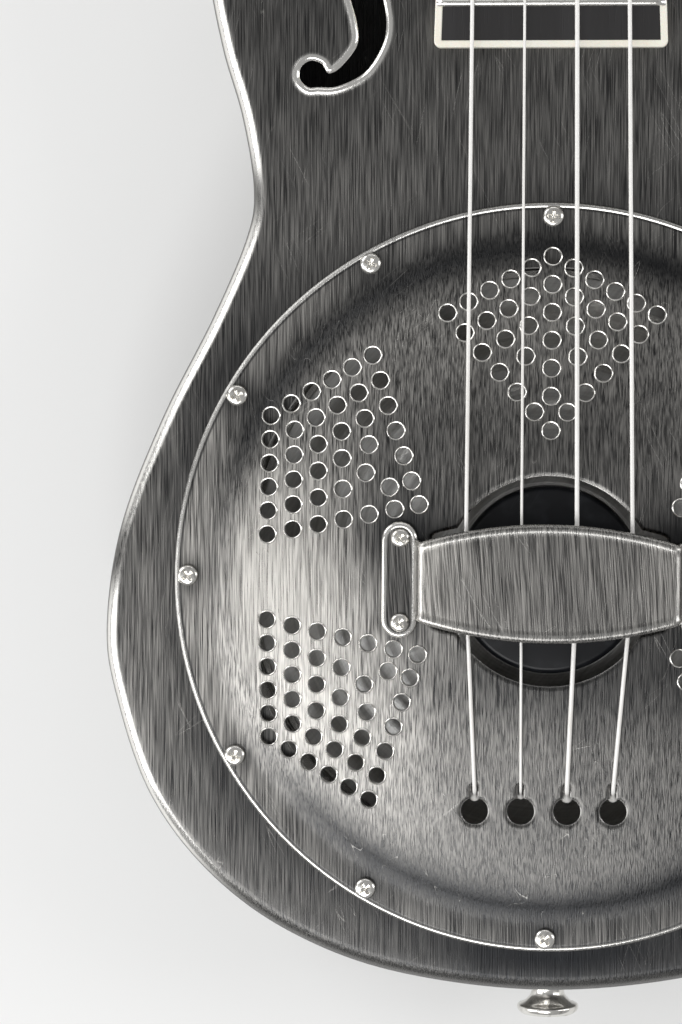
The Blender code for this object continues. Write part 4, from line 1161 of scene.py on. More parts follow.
@dataclass
class Body(Assembly):
    """The shell: a face with two f-holes, a band and a back."""

    half_outline: tuple[Point2, ...] = (
        (0.0, -104.1), (37.8, -99.9), (65.0, -89.9), (85.5, -74.9), (100.5, -54.9), (109.0, -29.9),
        (111.3, -12.0), (107.5, 13.0), (97.0, 40.0), (84.3, 65.0), (75.8, 85.0), (74.0, 97.0),
        (76.8, 115.0), (81.8, 132.5), (85.0, 152.0), (82.5, 170.0), (70.0, 184.0), (48.0, 190.0), (0.0, 190.5))
    edge: float = 4.0
    sheet: float = 1.0
    well_radius: float = 77.8
    f_centre: Point2 = (46.8, 150.0)
    f_inner: tuple[Point2, ...] = ((-3.1, -4.9), (-1.2, -12.1), (-1.2, -17.4), (-5.1, -22.6), (-8.2, -24.25))
    f_outer: tuple[Point2, ...] = ((-6.1, -27.5), (0.7, -24.1), (4.9, -17.9), (6.1, -12.1), (5.05, -4.9))
    f_lobe: Point2 = (-12.2, -24.5)
    f_lobe_radius: float = 3.4
    lip: float = 1.7
    pitch: float = 2.6
    back_pitch: float = 6.0
    inner_tone: float = 0.06
    back_tone: float = 0.22
    patina_and_light: PatinaAndLight = PatinaAndLight()

    def outline(self) -> list[Point2]:
        """The body's outer edge, anticlockwise from the tail."""
        left = [(-x, y) for x, y in reversed(self.half_outline[1:-1])]
        return smooth_through([*self.half_outline, *left], 12, closed=True)

    def f_hole(self, side: Side) -> list[Point2]:
        """The outline of one f-hole, anticlockwise.

        Args:
            side: the half of the instrument.

        Returns:
            The loop.
        """
        lobe = [polar(self.f_lobe_radius, angle, self.f_lobe) for angle in (50, 100, 150, 200, 250, 290)]
        half = [*self.f_inner, *lobe, *self.f_outer]
        whole = smooth_through([*half, *((-x, -y) for x, y in half)], 5, closed=True)
        placed = [(x - self.f_centre[0], y + self.f_centre[1]) for x, y in whole]
        return anticlockwise([(-side.value * x, y) for x, y in placed])

    def rolled_edge(self, sketch: Sketch, loop: Loop, face_z: float, up: float, tone: list[float]) -> None:
        """Rolls the face's edge down round the outline in eight steps, a painted highlight part way round.

        Args:
            sketch: the mesh under way.
            loop: the flat part's outer loop.
            face_z: the sheet's height.
            up: 1 for the face and -1 for the back.
            tone: the tone at each point, rubbed skin with painted light and shade on the face.
        """
        outline = self.outline()
        inner = loop
        for step in range(1, 9):
            angle = math.radians(90 * step / 8)
            drop = self.edge * (1 - math.cos(angle))
            points = inset(outline, self.edge * (1 - math.sin(angle)))
            # a band of painted highlight part way down the roll
            bright = eased_fall(abs(step - 3.7), 1.2, 3.0)
            shine = [bright * self.patina_and_light.edge_highlight(point) for point in points]
            outer = sketch.add([(x, y, face_z - up * drop) for x, y in points], tone, shine)
            sketch.bridge(inner, outer)
            inner = outer

    def build(self) -> None:
        """Builds the face, the band and the back."""
        top = self.datum.face_z
        outline = self.outline()
        flat_edge = inset(outline, self.edge)
        f_holes = [self.f_hole(side) for side in Side]
        well = circle(self.well_radius, 96)
        extra = [p for hole in f_holes for p in around(hole, (0.35, 0.8, 1.3, 1.8, 2.6))]
        flat, faces, loops = cut_sheet(flat_edge, [well, *f_holes], self.pitch, extra=extra)
        tree = near_tree([p for hole in f_holes for p in hole])
        sketch = Sketch()
        points = []
        tones = []
        polish_and_sheen = []
        for x, y in flat:
            gap = tree.find((x, y, 0))[2]
            roll = 0.32 * eased_fall(abs(gap - 0.95), 0.0, 0.95) - 0.25 * eased_fall(gap, 0.0, 0.4)
            points.append((x, y, top + (roll if gap < 3 else 0.0)))
            tones.append(self.patina_and_light.on_face((x, y)))
            # the f-holes' lips painted bright: polish with painted highlight
            polish_and_sheen.append(eased_fall(gap, self.lip * 0.7, self.lip * 1.25))
        numbers = sketch.add(points, tones, polish_and_sheen)
        sketch.faces += [[numbers[i] for i in face] for face in faces]
        self.rolled_edge(sketch, loops[0], top, 1.0, [self.patina_and_light.on_face(p) for p in outline])
        self.sheet_piece("top_sheet", sketch, ["body_top"])
        self.back(flat_edge, outline)
        self.band(outline)

    def back(self, flat_edge: list[Point2], outline: list[Point2]) -> None:
        """The back, a plain pan that faces down.

        Args:
            flat_edge: the flat part's edge.
            outline: the body's outer edge.
        """
        flat, faces, loops = cut_sheet(flat_edge, [], self.back_pitch)
        sketch = Sketch()
        numbers = sketch.add([(x, y, 0.0) for x, y in flat], self.back_tone, 0.0)
        sketch.faces += [[numbers[i] for i in face] for face in faces]
        self.rolled_edge(sketch, loops[0], 0.0, -1.0, [self.back_tone] * len(outline))
        self.sheet_piece("back_sheet", sketch, ["body_back"])

    def band(self, outline: list[Point2]) -> None:
        """The band between the face and the back, its own seams hidden under their rolled edges.

        Args:
            outline: the body's outer edge.
        """
        low = self.edge - 0.5
        high = self.datum.face_z - self.edge + 0.5
        lengths = [0.0]
        for a, b in zip(outline, outline[1:] + outline[:1]):
            lengths.append(lengths[-1] + math.dist(a, b) * MM)
        recess = inset(outline, 0.25)
        heights = ((low, recess), (low + 0.6, recess), (low + 1.0, outline), (high - 1.0, outline),
                   (high - 0.6, recess), (high, recess))
        sketch = Sketch()
        loops = [(sketch.add([(x, y, z) for x, y in loop], 0.2, 0.0), z) for z, loop in heights]
        for (lower, z0), (upper, z1) in zip(loops, loops[1:]):
            sketch.bridge(lower, upper, run=(lengths, z0 * MM, z1 * MM))
        piece = sketch.build("side_band", self.palette.band, self.datum, closed=False)
        thicken(piece, self.sheet, self.inner_tone)
        finish_piece(piece, ["body_sides"])

    def sheet_piece(self, name: str, sketch: Sketch, nodes: Sequence[str]) -> None:
        """Thickens and finishes a pan of the shell.

        Args:
            name: the piece's name.
            sketch: its open mesh.
            nodes: the CAD nodes that it stands for.
        """
        piece = sketch.build(name, self.palette.face, self.datum)
        self.face_outwards(piece)
        thicken(piece, self.sheet, self.inner_tone)
        finish_piece(piece, nodes, crease=50.0)

    @staticmethod
    def face_outwards(piece: bpy.types.Object) -> None:
        """Turns an open pan's faces away from the body's middle.

        Args:
            piece: the piece.
        """
        work = bmesh.new()
        work.from_mesh(piece.data)
        largest = max(work.faces, key=lambda face: face.calc_area())
        middle = 30 * MM
        if largest.normal.z * (largest.calc_center_median().z - middle) < 0:
            bmesh.ops.reverse_faces(work, faces=work.faces)
        work.to_mesh(piece.data)
        work.free()


# ---------------------------------------------------------------------------------------------------
# The resonator


@dataclass
class Resonator(Assembly):
    """The well in the body, the spun cone in it, and the biscuit and saddle on the cone."""

    well_radius: float = 77.5
    rim_z: float = 36.5
    rim_radius: float = 75.5
    cone_top: float = 56.7
    biscuit_radius: float = 23.5
    biscuit_height: float = 6.0
    saddle_half: float = 26.0
    saddle_thickness: float = 2.8
    saddle_top: float = 71.2

    def build(self) -> None:
        """Builds the four pieces."""
        self.well()
        self.cone()
        self.biscuit()
        saddle = Sketch()
        notched_bar(saddle, self.saddle_half, self.cone_top + self.biscuit_height + 0.6, self.saddle_top,
                    StringSet.saddle_spread, -self.saddle_thickness / 2, self.saddle_thickness)
        self.simple("saddle_strip", saddle, self.palette.maple, ["saddle"], edges=0.25)

    def well(self) -> None:
        """The cup with the ledge under the cone's rim."""
        top = self.datum.face_z - 1.3
        ledge = self.rim_z - 0.3
        outer = self.well_radius + 1.0
        profile = [(self.well_radius, top), (outer + 6.5, top), (outer + 6.5, top - 1), (outer, top - 1),
                   (outer, ledge - 1), (self.well_radius - 7.5, ledge - 1), (self.well_radius - 7.5, ledge),
                   (self.well_radius - 0.6, ledge), (self.well_radius, ledge + 0.6)]
        sketch = Sketch()
        sketch.turned(profile, 128, ring=True)
        self.simple("cone_well", sketch, self.palette.inner, ["sound_well"])

    def cone(self) -> None:
        """The cone, slightly bowed, with spun ridges, a seat for the biscuit and a flat rim."""
        seat = self.biscuit_radius + 1.5
        upper = [(0.0, self.cone_top), (seat - 1.5, self.cone_top), (seat, self.cone_top - 0.5)]
        foot_z = self.rim_z + 2.2
        for step in range(1, 41):
            share = step / 40
            ridge = 0.28 * math.sin(share * math.pi * 16) * math.sin(share * math.pi)
            bow = 1.0 * math.sin(share * math.pi)
            radius = seat + (67.0 - seat) * share
            upper.append((radius, self.cone_top - 0.5 + (foot_z - self.cone_top + 0.5) * share + bow + ridge))
        upper += [(69.0, self.rim_z + 1.0), (71.0, self.rim_z + 0.7), (self.rim_radius - 0.3, self.rim_z + 0.7),
                  (self.rim_radius, self.rim_z + 0.4)]
        lower = [(max(r - 0.3, 0.0), z - 0.7) for r, z in upper[:-2]]
        sketch = Sketch()
        sketch.turned([*upper, (self.rim_radius, self.rim_z), *lower[::-1]], 128)
        spun = SpunMetal("spun_aluminium", "spun_aluminium", centre_y=self.datum.plate_y)
        self.simple("spun_cone", sketch, spun, ["resonator_cone"])

    def biscuit(self) -> None:
        """The lacquered disc, its top edge rounded over."""
        low = self.cone_top + 0.3
        high = low + self.biscuit_height
        radius = self.biscuit_radius
        edge = [(radius - 1.6 + 1.6 * math.sin(a), high - 1.6 + 1.6 * math.cos(a))
                for a in (math.radians(90 - 15 * k) for k in range(7))]
        sketch = Sketch()
        sketch.turned([(0, low), (radius - 0.3, low), (radius, low + 0.3), *edge, (0, high)], 128)
        self.simple("biscuit_disc", sketch, self.palette.black, ["biscuit"])


def notched_bar(sketch: Sketch, half_length: float, low: float, high: float, spread: float, y: float,
                thickness: float) -> None:
    """Adds an upright bar with a notch for each string.

    Args:
        sketch: where it goes.
        half_length: half its length along X.
        low: its underside.
        high: its top.
        spread: the distance between the outer notches.
        y: its lower face.
        thickness: its thickness along Y.
    """
    outline = [(-half_length, low), (half_length, low), (half_length, high - 1.6),
               (half_length - 0.5, high - 1.1)]
    for x, diameter in zip(reversed(string_places(spread)), reversed(StringSet.diameters)):
        half = diameter / 2 + 0.3
        floor = high - StringSet.notch_depth
        outline += [(x + half + 0.4, high), (x + half, floor), (x - half, floor),
                    (x - half - 0.4, high)]
    outline += [(0.5 - half_length, high - 1.1), (-half_length, high - 1.6)]
    upright = Matrix.Translation((0, y + thickness, 0)) @ Matrix.Rotation(math.pi / 2, 4, "X")
    prism(sketch, outline, [], 0.0, thickness, upright)


def string_places(spread: float) -> list[float]:
    """The strings' x at a bridge or nut with that spread between the outer strings."""
    return [spread * (i / 3 - 0.5) for i in range(4)]


# ---------------------------------------------------------------------------------------------------
# The coverplate and what is screwed to it


@dataclass
class Coverplate(Assembly):
    """The domed plate with its vents, keyholes and opening, and the screws round its flange."""

    turn: float = -0.5
    thickness: float = 0.8
    flange_inner: float = 87.6
    step_inner: float = 79.0
    dome_radius: float = 83.0
    step_rise: float = 1.0
    dome_rise: float = 5.5
    screw_circle: float = 90.3
    screw_count: int = 12
    vent_bore: float = 2.3
    vent_fields: tuple[int, ...] = (90, 150, 210, 330, 30)
    vent_rows: tuple[int, ...] = (6, 5, 4, 3, 2, 2, 1)
    vent_top: float = 80.4
    vent_pitch: float = 6.9
    vent_point: float = 37.4
    vent_edge: tuple[Point2, Point2] = ((25.9, 66.2), (4.1, 42.0))
    opening_radius: float = 26.2
    ear: Point3 = (29.0, 11.5, 13.0)
    keyholes_x: tuple[float, ...] = (-18.4, -6.9, 4.6, 16.1)
    keyhole_y: float = -57.7
    keyhole_radius: float = 3.4
    slot_width: float = 1.6
    slot_end: float = -50.9
    pitch: float = 1.9
    rim_sides: int = 288
    inner_tone: float = 0.6
    patina_and_light: PatinaAndLight = PatinaAndLight()

    def height(self, x: float, y: float) -> float:
        """The plate's upper surface at a point: flange, step and dome.

        Args:
            x: across the instrument.
            y: along the instrument.

        Returns:
            The height in millimetres.
        """
        radius = math.hypot(x, y)
        flange = self.datum.face_z + 0.3 + self.thickness
        dome = self.dome_rise * (1 - (min(radius, self.dome_radius) / self.dome_radius) ** 2)
        share = min(max((self.flange_inner - radius) / (self.flange_inner - self.step_inner), 0.0), 1.0)
        return flange + self.step_rise * share * share * (3 - 2 * share) + dome

    def screw_places(self) -> list[Point2]:
        """The centres of the screws round the flange."""
        count = self.screw_count
        return [polar(self.screw_circle, 90 + self.turn + 360 * i / count) for i in range(count)]

    def vent_places(self) -> list[Point2]:
        """The centres of the vents: kite-shaped fields of rows about a centre column.

        Returns:
            The centres.
        """
        places = []
        (edge_x, edge_y), (last_x, last_y) = self.vent_edge
        rows = len(self.vent_rows)
        for row, count in enumerate(self.vent_rows):
            share = row / (rows - 2)
            middle = self.vent_top - self.vent_pitch * row
            edge = (edge_x + (last_x - edge_x) * share, edge_y + (last_y - edge_y) * share)
            if row == rows - 1:
                middle = self.vent_point
                edge = (0.0, middle)
            for k in range(count):
                t = k / (count - 1) if count > 1 else 0.0
                x, y = edge[0] * t, middle + (edge[1] - middle) * t
                places.append((x, y))
                if x > 0:
                    places.append((-x, y))
        return [turned_point(place, field_angle - 90 + self.turn) for field_angle in self.vent_fields
                for place in places]

    def opening(self) -> list[Point2]:
        """The round opening over the biscuit, with an ear on each side for the saddle's ends.

        Returns:
            The loop.
        """
        ear_x, ear_low, ear_high = self.ear
        start = math.degrees(math.asin(ear_high / self.opening_radius))
        arc = [polar(self.opening_radius, start + (180 - 2 * start) * i / 32) for i in range(33)]
        corner = smooth_through([(ear_x, ear_low - 1.5), (ear_x - 0.5, ear_low), arc[0]], 3, closed=False)[:-1]
        side = [(ear_x, -10 + 20 * i / 9) for i in range(10)]
        upper = [*side, *corner, *arc, *((-x, y) for x, y in reversed(corner))]
        lower = [(-x, -y) for x, y in side] + [(-x, -y) for x, y in corner] + [(-x, -y) for x, y in arc]
        lower += [(x, -y) for x, y in reversed(corner)]
        return [turned_point(point, self.turn) for point in upper + lower]

    def keyhole(self, x: float) -> list[Point2]:
        """A round hole with a narrow slot that holds a knotted string.

        Args:
            x: the middle of the keyhole across the plate.

        Returns:
            The loop.
        """
        half = self.slot_width / 2
        mouth = math.degrees(math.asin(half / self.keyhole_radius))
        arc = [polar(self.keyhole_radius, 90 + mouth + (360 - 2 * mouth) * i / 28, (x, self.keyhole_y))
               for i in range(29)]
        top = [polar(half, 30 * k, (x, self.slot_end - half)) for k in range(7)]
        right = [(x + half, self.keyhole_y + self.keyhole_radius + 0.6 * k) for k in range(1, 4)]
        left = [(2 * x - a, b) for a, b in reversed(right)]
        return arc + right + top + left

    def flange_rim(self, sketch: Sketch, inner: Loop) -> None:
        """Rolls a bead round the plate's edge, its crest painted bright: polish with painted highlight.

        Args:
            sketch: the mesh under way.
            inner: the loop that it starts from.
        """
        radius = self.datum.plate_radius
        flange = self.height(radius, 0)
        # the third number of each ring paints polish and highlight on the bead's crest
        for inward, rise, bright in ((1.6, 0.0, 0.0), (1.35, -0.08, 0.0), (1.15, -0.03, 0.5), (0.95, 0.1, 1.0),
                                     (0.75, 0.1, 1.0), (0.55, -0.02, 0.4), (0.35, -0.08, 0.4),
                                     (0.12, -0.25, 0.6), (0.0, -0.75, 0.8)):
            outer = sketch.add([(x, y, flange + rise) for x, y in circle(radius - inward, self.rim_sides)],
                               0.08, bright)
            sketch.bridge(inner, outer)
            inner = outer

    def build(self) -> None:
        """Builds the plate, its vents' rims and its screws."""
        vents = self.vent_places()
        opening = self.opening()
        keyholes = [self.keyhole(x) for x in self.keyholes_x]
        extra = [p for hole in (opening, *keyholes) for p in around(hole, (0.35, 0.8, 1.3))]
        for radius in (91.4, 90.4, 89.2, 88.0, 87.0, 86.3, 85.7, 85.1, 84.5, 83.9, 83.3, 82.7, 82.0):
            extra += circle(radius, 240)
        vent_tree = near_tree(vents)
        extra = [p for p in extra if vent_tree.find((*p, 0))[2] > self.vent_bore + 0.3]
        rim = circle(self.datum.plate_radius - 1.9, self.rim_sides)
        flat, faces, loops = cut_sheet(rim, [opening, *keyholes], self.pitch, vents, self.vent_bore, extra)
        screw_tree = near_tree(self.screw_places() + HandRest.foot_screws())
        edge_tree = near_tree([*opening, *(p for hole in keyholes for p in hole)])
        sketch = Sketch()
        points = []
        tones = []
        polish_and_sheen = []
        for x, y in flat:
            gap = edge_tree.find((x, y, 0))[2]
            points.append((x, y, self.height(x, y) - 0.3 * eased_fall(gap, 0.0, 0.7)))
            tones.append(self.patina_and_light.on_plate((x, y), screw_tree))
            # the opening's and keyholes' lips painted a little bright: polish with painted highlight
            polish_and_sheen.append(eased_fall(gap, 0.1, 0.5) * 0.4)
        numbers = sketch.add(points, tones, polish_and_sheen)
        sketch.faces += [[numbers[i] for i in face] for face in faces]
        self.flange_rim(sketch, loops[0])
        piece = sketch.build("plate_dome", self.palette.face, self.datum)
        Body.face_outwards(piece)
        thicken(piece, self.thickness, self.inner_tone)
        finish_piece(piece, ["coverplate"], crease=50.0)
        self.vent_rims(vents)
        self.screws()

    def vent_rims(self, vents: list[Point2]) -> None:
        """A rolled eyelet in each vent.

        Args:
            vents: the vents' centres.
        """
        outer = self.vent_bore + 0.14
        profile = [(outer, -0.1), (outer, 0.02), (outer - 0.08, 0.14), (outer - 0.24, 0.24),
                   (outer - 0.4, 0.18), (outer - 0.5, 0.0), (outer - 0.52, -0.9), (outer, -0.9)]
        template = Sketch()
        template.turned(profile, 28, ring=True, tone=0.6, polish_and_sheen=1.0)
        places = [(x, y, self.height(x, y)) for x, y in vents]
        facing = []
        for x, y in vents:
            slope = 2 * self.dome_rise / self.dome_radius ** 2
            facing.append(tuple(Vector((x * slope, y * slope, 1)).normalized()))
        rims = self.repeater.copies("vent_rims", template, places, self.palette.nickel, self.datum, facing)
        finish_piece(rims, [])

    def screws(self) -> None:
        """The screws round the flange."""
        seat = self.datum.face_z + 0.3 + self.thickness + 0.02
        places = [(x, y, seat) for x, y in self.screw_places()]
        template = cross_screw(2.65, 1.55, 1.2, 7.0)
        screws = self.repeater.copies("plate_screws", template, places, self.palette.nickel, self.datum,
                                      spin=1.0, seed=7)
        nodes = [f"coverplate_screw_{number:02d}" for number in range(1, self.screw_count + 1)]
        finish_piece(screws, nodes)


def cross_screw(head: float, rise: float, shank: float, length: float) -> Sketch:
    """A pan-head screw with a cross recess, its seat at z = 0.

    Args:
        head: the head's radius.
        rise: the head's height.
        shank: the shank's radius.
        length: the shank's length.

    Returns:
        The template.
    """
    slot = head * 0.17
    reach = head * 0.6
    cross = [(reach, -slot), (reach, slot), (slot, slot), (slot, reach), (-slot, reach), (-slot, slot),
             (-reach, slot), (-reach, -slot), (-slot, -slot), (-slot, -reach), (slot, -reach), (slot, -slot)]
    rim = circle(head * 0.66, 32)
    flat, faces, loops = cut_sheet(rim, [cross], 1e4)
    sketch = Sketch()
    dome = [(x, y, rise * (1 - 0.12 * (x * x + y * y) / head ** 2)) for x, y in flat]
    numbers = sketch.add(dome)
    sketch.faces += [[numbers[i] for i in face] for face in faces]
    edge, mouth = ([numbers[i] for i in loop] for loop in loops)
    floor = sketch.add([(x * 0.75, y * 0.75, rise * 0.3) for x, y in cross])
    sketch.bridge(mouth, floor)
    centre = sketch.add([(0, 0, rise * 0.15)])[0]
    sketch.faces += [[floor[i], floor[(i + 1) % 12], centre] for i in range(12)]
    inner = edge
    for share, height in ((0.82, 0.86), (0.93, 0.7), (0.985, 0.46), (1.0, 0.2), (0.99, 0.0),
                          (shank / head, 0.0), (shank / head, -length / rise), (0.1, -(length + 1) / rise)):
        outer = sketch.add([(x, y, height * rise) for x, y in circle(head * share, 32)])
        sketch.bridge(inner, outer)
        inner = outer
    sketch.faces.append(inner)
    return sketch


@dataclass
class HandRest(Assembly):
    """The bent strip over the saddle, its two feet and their screws."""

    plate: Coverplate
    half_length: float = 31.9
    half_end: float = 10.0
    half_middle: float = 14.7
    top_z: float = 75.7
    sheet: float = 1.2
    foot_inner: float = 32.6
    foot_outer: float = 41.6
    foot_half: float = 14.5
    turn: float = -0.5

    @staticmethod
    def foot_screws() -> list[Point2]:
        """The centres of the feet's screws."""
        return [turned_point((x, y), -0.5) for x in (-36.9, 36.9) for y in (-10.5, 10.5)]

    def foot_top(self) -> float:
        """The height of the feet's upper face."""
        return self.plate.height(32.2, 0) + 0.3 + self.sheet

    def half_width(self, x: float) -> float:
        """Half the strip's width at a place along it, its long edges bowed outwards."""
        share = min(abs(x) / self.half_length, 1.0)
        return self.half_end + (self.half_middle - self.half_end) * (1 - share ** 2)

    def strip_path(self) -> list[tuple[float, float, float, float]]:
        """(x, z, normal x, normal z) along the strip from its middle to where it meets a foot.

        Returns:
            The stations.
        """
        low = self.foot_top() - 0.1
        path = [(self.half_length * k / 14 * 0.95, self.top_z, 0.0, 1.0) for k in range(15)]
        bend = 1.7
        lean = 8.0
        start = self.half_length - bend * 0.7
        for k in range(1, 8):
            angle = math.radians((90 - lean) * k / 7)
            path.append((start + bend * math.sin(angle), self.top_z - bend * (1 - math.cos(angle)),
                         math.sin(angle), math.cos(angle)))
        x, z = path[-1][:2]
        run = math.tan(math.radians(lean))
        for k in range(1, 5):
            share = k / 4
            path.append((x + (z - low) * run * share, z + (low - z) * share, math.cos(math.radians(lean)),
                         math.sin(math.radians(lean))))
        return path

    def place(self, point: Point3) -> Point3:
        """A point of the rest's own frame in the instrument's."""
        return (*turned_point((point[0], point[1]), self.turn), point[2])

    def build(self) -> None:
        """Builds the rest and its screws."""
        sketch = Sketch()
        self.strip(sketch)
        for side in Side:
            self.foot(sketch, side)
        piece = sketch.build("hand_rest_strip", self.palette.rest, self.datum)
        finish_piece(piece, ["hand_rest"], crease=50.0)
        places = [(x, y, self.foot_top()) for x, y in self.foot_screws()]
        screws = self.repeater.copies("rest_screws", cross_screw(2.35, 1.5, 1.1, 6.0), places,
                                      self.palette.nickel, self.datum, spin=1.0, seed=11)
        finish_piece(screws, [f"hand_rest_screw_{n}" for n in range(1, 5)])

    def strip(self, sketch: Sketch) -> None:
        """The bowed top and the two legs, both long edges rolled over, with painted light, shade and highlight.

        Args:
            sketch: the mesh under way.
        """
        half = self.strip_path()
        path = [(-x, z, -nx, nz) for x, z, nx, nz in reversed(half[1:])] + half
        # each section point's last number paints polish with highlight on the rolled lips
        section = ((0.0, -0.75, 0.45), (0.25, -0.25, 0.3), (0.75, 0.05, 0.1), (1.3, 0.12, 0.35),
                   (1.8, 0.07, 0.4), (2.3, -0.02, 0.15), (3.2, 0.0, 0.0))
        last = len(path) - 1
        rows = []
        for number, (x, z, nx, nz) in enumerate(path):
            width = self.half_width(x)
            outer = []
            for inward, rise, bright in section:
                outer.append((width - inward, rise, bright))
            for k in range(1, 5):
                outer.append(((width - 3.2) * (1 - k / 4), 0.0, 0.0))
            across = [(-y, rise, bright) for y, rise, bright in outer] + outer[-2::-1]
            # painted highlight on the bends at both ends
            fold = 0.35 * eased_fall(abs(min(number, last - number) - 7.0), 2.0, 5.5)
            # the top lighter towards the ends, most at the left, and darker in the middle: painted light and
            # shade
            tone = 0.3 + 0.3 * math.exp(-((x + 32.0) / 9.0) ** 2) + 0.12 * math.exp(-((x - 32.0) / 6.0) ** 2)
            tone -= 0.06 * math.exp(-((x - 3.0) / 12.0) ** 2)
            upper = sketch.add([self.place((x + nx * rise, y, z + nz * rise)) for y, rise, _ in across],
                               tone, [max(bright, fold) for _, _, bright in across])
            lower = sketch.add([self.place((x - nx * self.sheet, y * 0.985, z - nz * self.sheet))
                                for y, _, _ in across], 0.34, 0.2)
            rows.append((upper, lower))
        for (upper, lower), (next_upper, next_lower) in zip(rows, rows[1:]):
            sketch.bridge(upper, next_upper, closed=False)
            sketch.bridge(lower, next_lower, closed=False)
            for end in (0, -1):
                sketch.faces.append([upper[end], next_upper[end], next_lower[end], lower[end]])
        for upper, lower in (rows[0], rows[-1]):
            sketch.bridge(upper, lower, closed=False)

    def foot(self, sketch: Sketch, side: Side) -> None:
        """A foot with round ends and a raised edge, the edge painted bright: polish with painted highlight.

        Args:
            sketch: the mesh under way.
            side: the half of the instrument.
        """
        radius = (self.foot_outer - self.foot_inner) / 2
        middle = (self.foot_outer + self.foot_inner) / 2
        reach = self.foot_half - radius
        loop = [polar(radius, 15 * k, (middle, reach)) for k in range(13)]
        loop += [polar(radius, 180 + 15 * k, (middle, -reach)) for k in range(13)]
        top = self.foot_top()
        previous = sketch.add([self.place((side.value * x, y, top - self.sheet)) for x, y in loop])
        sketch.faces.append(previous)
        for inward, rise in ((0.0, -0.7), (0.1, -0.3), (0.4, 0.0), (0.8, 0.12), (1.2, 0.06), (1.5, -0.04),
                             (2.1, -0.04)):
            points = [self.place((side.value * x, y, top + rise)) for x, y in inset(loop, inward)]
            # the raised edge painted bright: polish with painted highlight
            ring = sketch.add(points, 0.16, 0.75 * eased_fall(inward, 1.2, 1.5))
            sketch.bridge(previous, ring)
            previous = ring
        sketch.faces.append(previous)


# ---------------------------------------------------------------------------------------------------
# Neck, fretboard and strings


@dataclass(frozen=True)
class Board:
    """The fretboard's measures, which the neck and the strings share."""

    scale: float = 381.0
    frets: int = 17
    end_y: float = 131.7
    end_width: float = 57.5
    nut_width: float = 40.0
    thickness: float = 5.5
    binding: float = 1.8
    nut_length: float = 3.7
    nut_top: float = 67.6

    def half_width(self, y: float) -> float:
        """Half the bound board's width at a place along it."""
        share = (y - self.end_y) / (self.scale - self.end_y)
        return (self.end_width + (self.nut_width - self.end_width) * share) / 2

    def fret_y(self, fret: float) -> float:
        """A fret's distance from the saddle."""
        return self.scale * 2 ** (-fret / 12)


@dataclass
class Fretboard(Assembly):
    """The bound board, its frets, its position dots and the nut."""

    board: Board = Board()

    def build(self) -> None:
        """Builds the five pieces."""
        low = self.datum.face_z + 0.3
        top = low + self.board.thickness
        binding = self.board.binding
        start = self.board.end_y + binding
        scale = self.board.scale
        near = self.board.half_width(start) - binding
        far = self.board.half_width(scale) - binding
        slab = Sketch()
        prism(slab, [(-near, start), (near, start), (far, scale), (-far, scale)], [], low, top - 0.02)
        self.simple("board_slab", slab, self.palette.board, ["fretboard"])
        self.binding(near, far, start, low, top)
        self.fret_wires(top)
        self.dots(top)
        nut = Sketch()
        notched_bar(nut, self.board.nut_width / 2, low, self.board.nut_top, StringSet.nut_spread,
                    scale + 0.3, self.board.nut_length)
        self.simple("nut_bar", nut, self.palette.bone, ["nut"], edges=0.35)

    def binding(self, near: float, far: float, start: float, low: float, top: float) -> None:
        """The pale strip round the board's sides and end, its corners rounded.

        Args:
            near: half the dark board's width at the body's end.
            far: half the dark board's width at the nut.
            start: where the dark board starts along the instrument.
            low: the height of its underside.
            top: the height of its upper face.
        """
        board = self.board
        nut_half = board.nut_width / 2
        end_half = board.end_width / 2
        right = [polar(1.6, -90 + 15 * k, (end_half - 1.6, board.end_y + 1.6)) for k in range(7)]
        outer = [(-x, y) for x, y in reversed(right)]
        outline = [(-nut_half, board.scale), *outer, *right, (nut_half, board.scale)]
        inner = [(far, board.scale), (near, start), (-near, start), (-far, board.scale)]
        sketch = Sketch()
        prism(sketch, outline + inner, [], low, top)
        self.simple("board_binding", sketch, self.palette.binding, ["fretboard_binding"], edges=0.3)

    def fret_wires(self, top: float) -> None:
        """The frets, their ends bevelled over the binding.

        Args:
            top: the height of the board's upper face.
        """
        half = 25.0
        rows = []
        for x, height, width in ((0.0, 0.0, 0.75), (0.45, 0.5, 0.9), (1.3, 0.92, 1.0), (2.2, 1.0, 1.0)):
            rows.append((x - half, height, width))
        rows += [(-x, height, width) for x, height, width in reversed(rows)]
        template = Sketch()
        loops = []
        for x, height, width in rows:
            arc = [(x, width * 1.05 * math.cos(math.radians(22.5 * k)), 0.02 + 0.95 * max(height, 0.05)
                    * math.sin(math.radians(22.5 * k))) for k in range(9)]
            loops.append(template.add(arc))
        for first, second in zip(loops, loops[1:]):
            template.bridge(first, second)
        template.faces += [loops[0], loops[-1]]
        places = []
        sizes = []
        for fret in range(1, self.board.frets + 1):
            y = self.board.fret_y(fret)
            places.append((0.0, y, top))
            sizes.append(((self.board.half_width(y) - 0.25) / half, 1.0, 1.0))
        wires = self.repeater.copies("fret_wires", template, places, self.palette.nickel, self.datum,
                                     sizes=sizes)
        finish_piece(wires, [])

    def dots(self, top: float) -> None:
        """The position dots.

        Args:
            top: the height of the board's upper face.
        """
        places = []
        for fret in (5, 7, 10, 12, 15):
            y = (self.board.fret_y(fret) + self.board.fret_y(fret - 1)) / 2
            places += [(x, y, top) for x in ((-7.0, 7.0) if fret == 12 else (0.0,))]
        template = Sketch()
        template.turned([(0, -0.3), (2.4, -0.3), (2.4, 0.0), (2.3, 0.03), (0, 0.05)], 32)
        dots = self.repeater.copies("position_dots", template, places, self.palette.pearl, self.datum)
        finish_piece(dots, [])


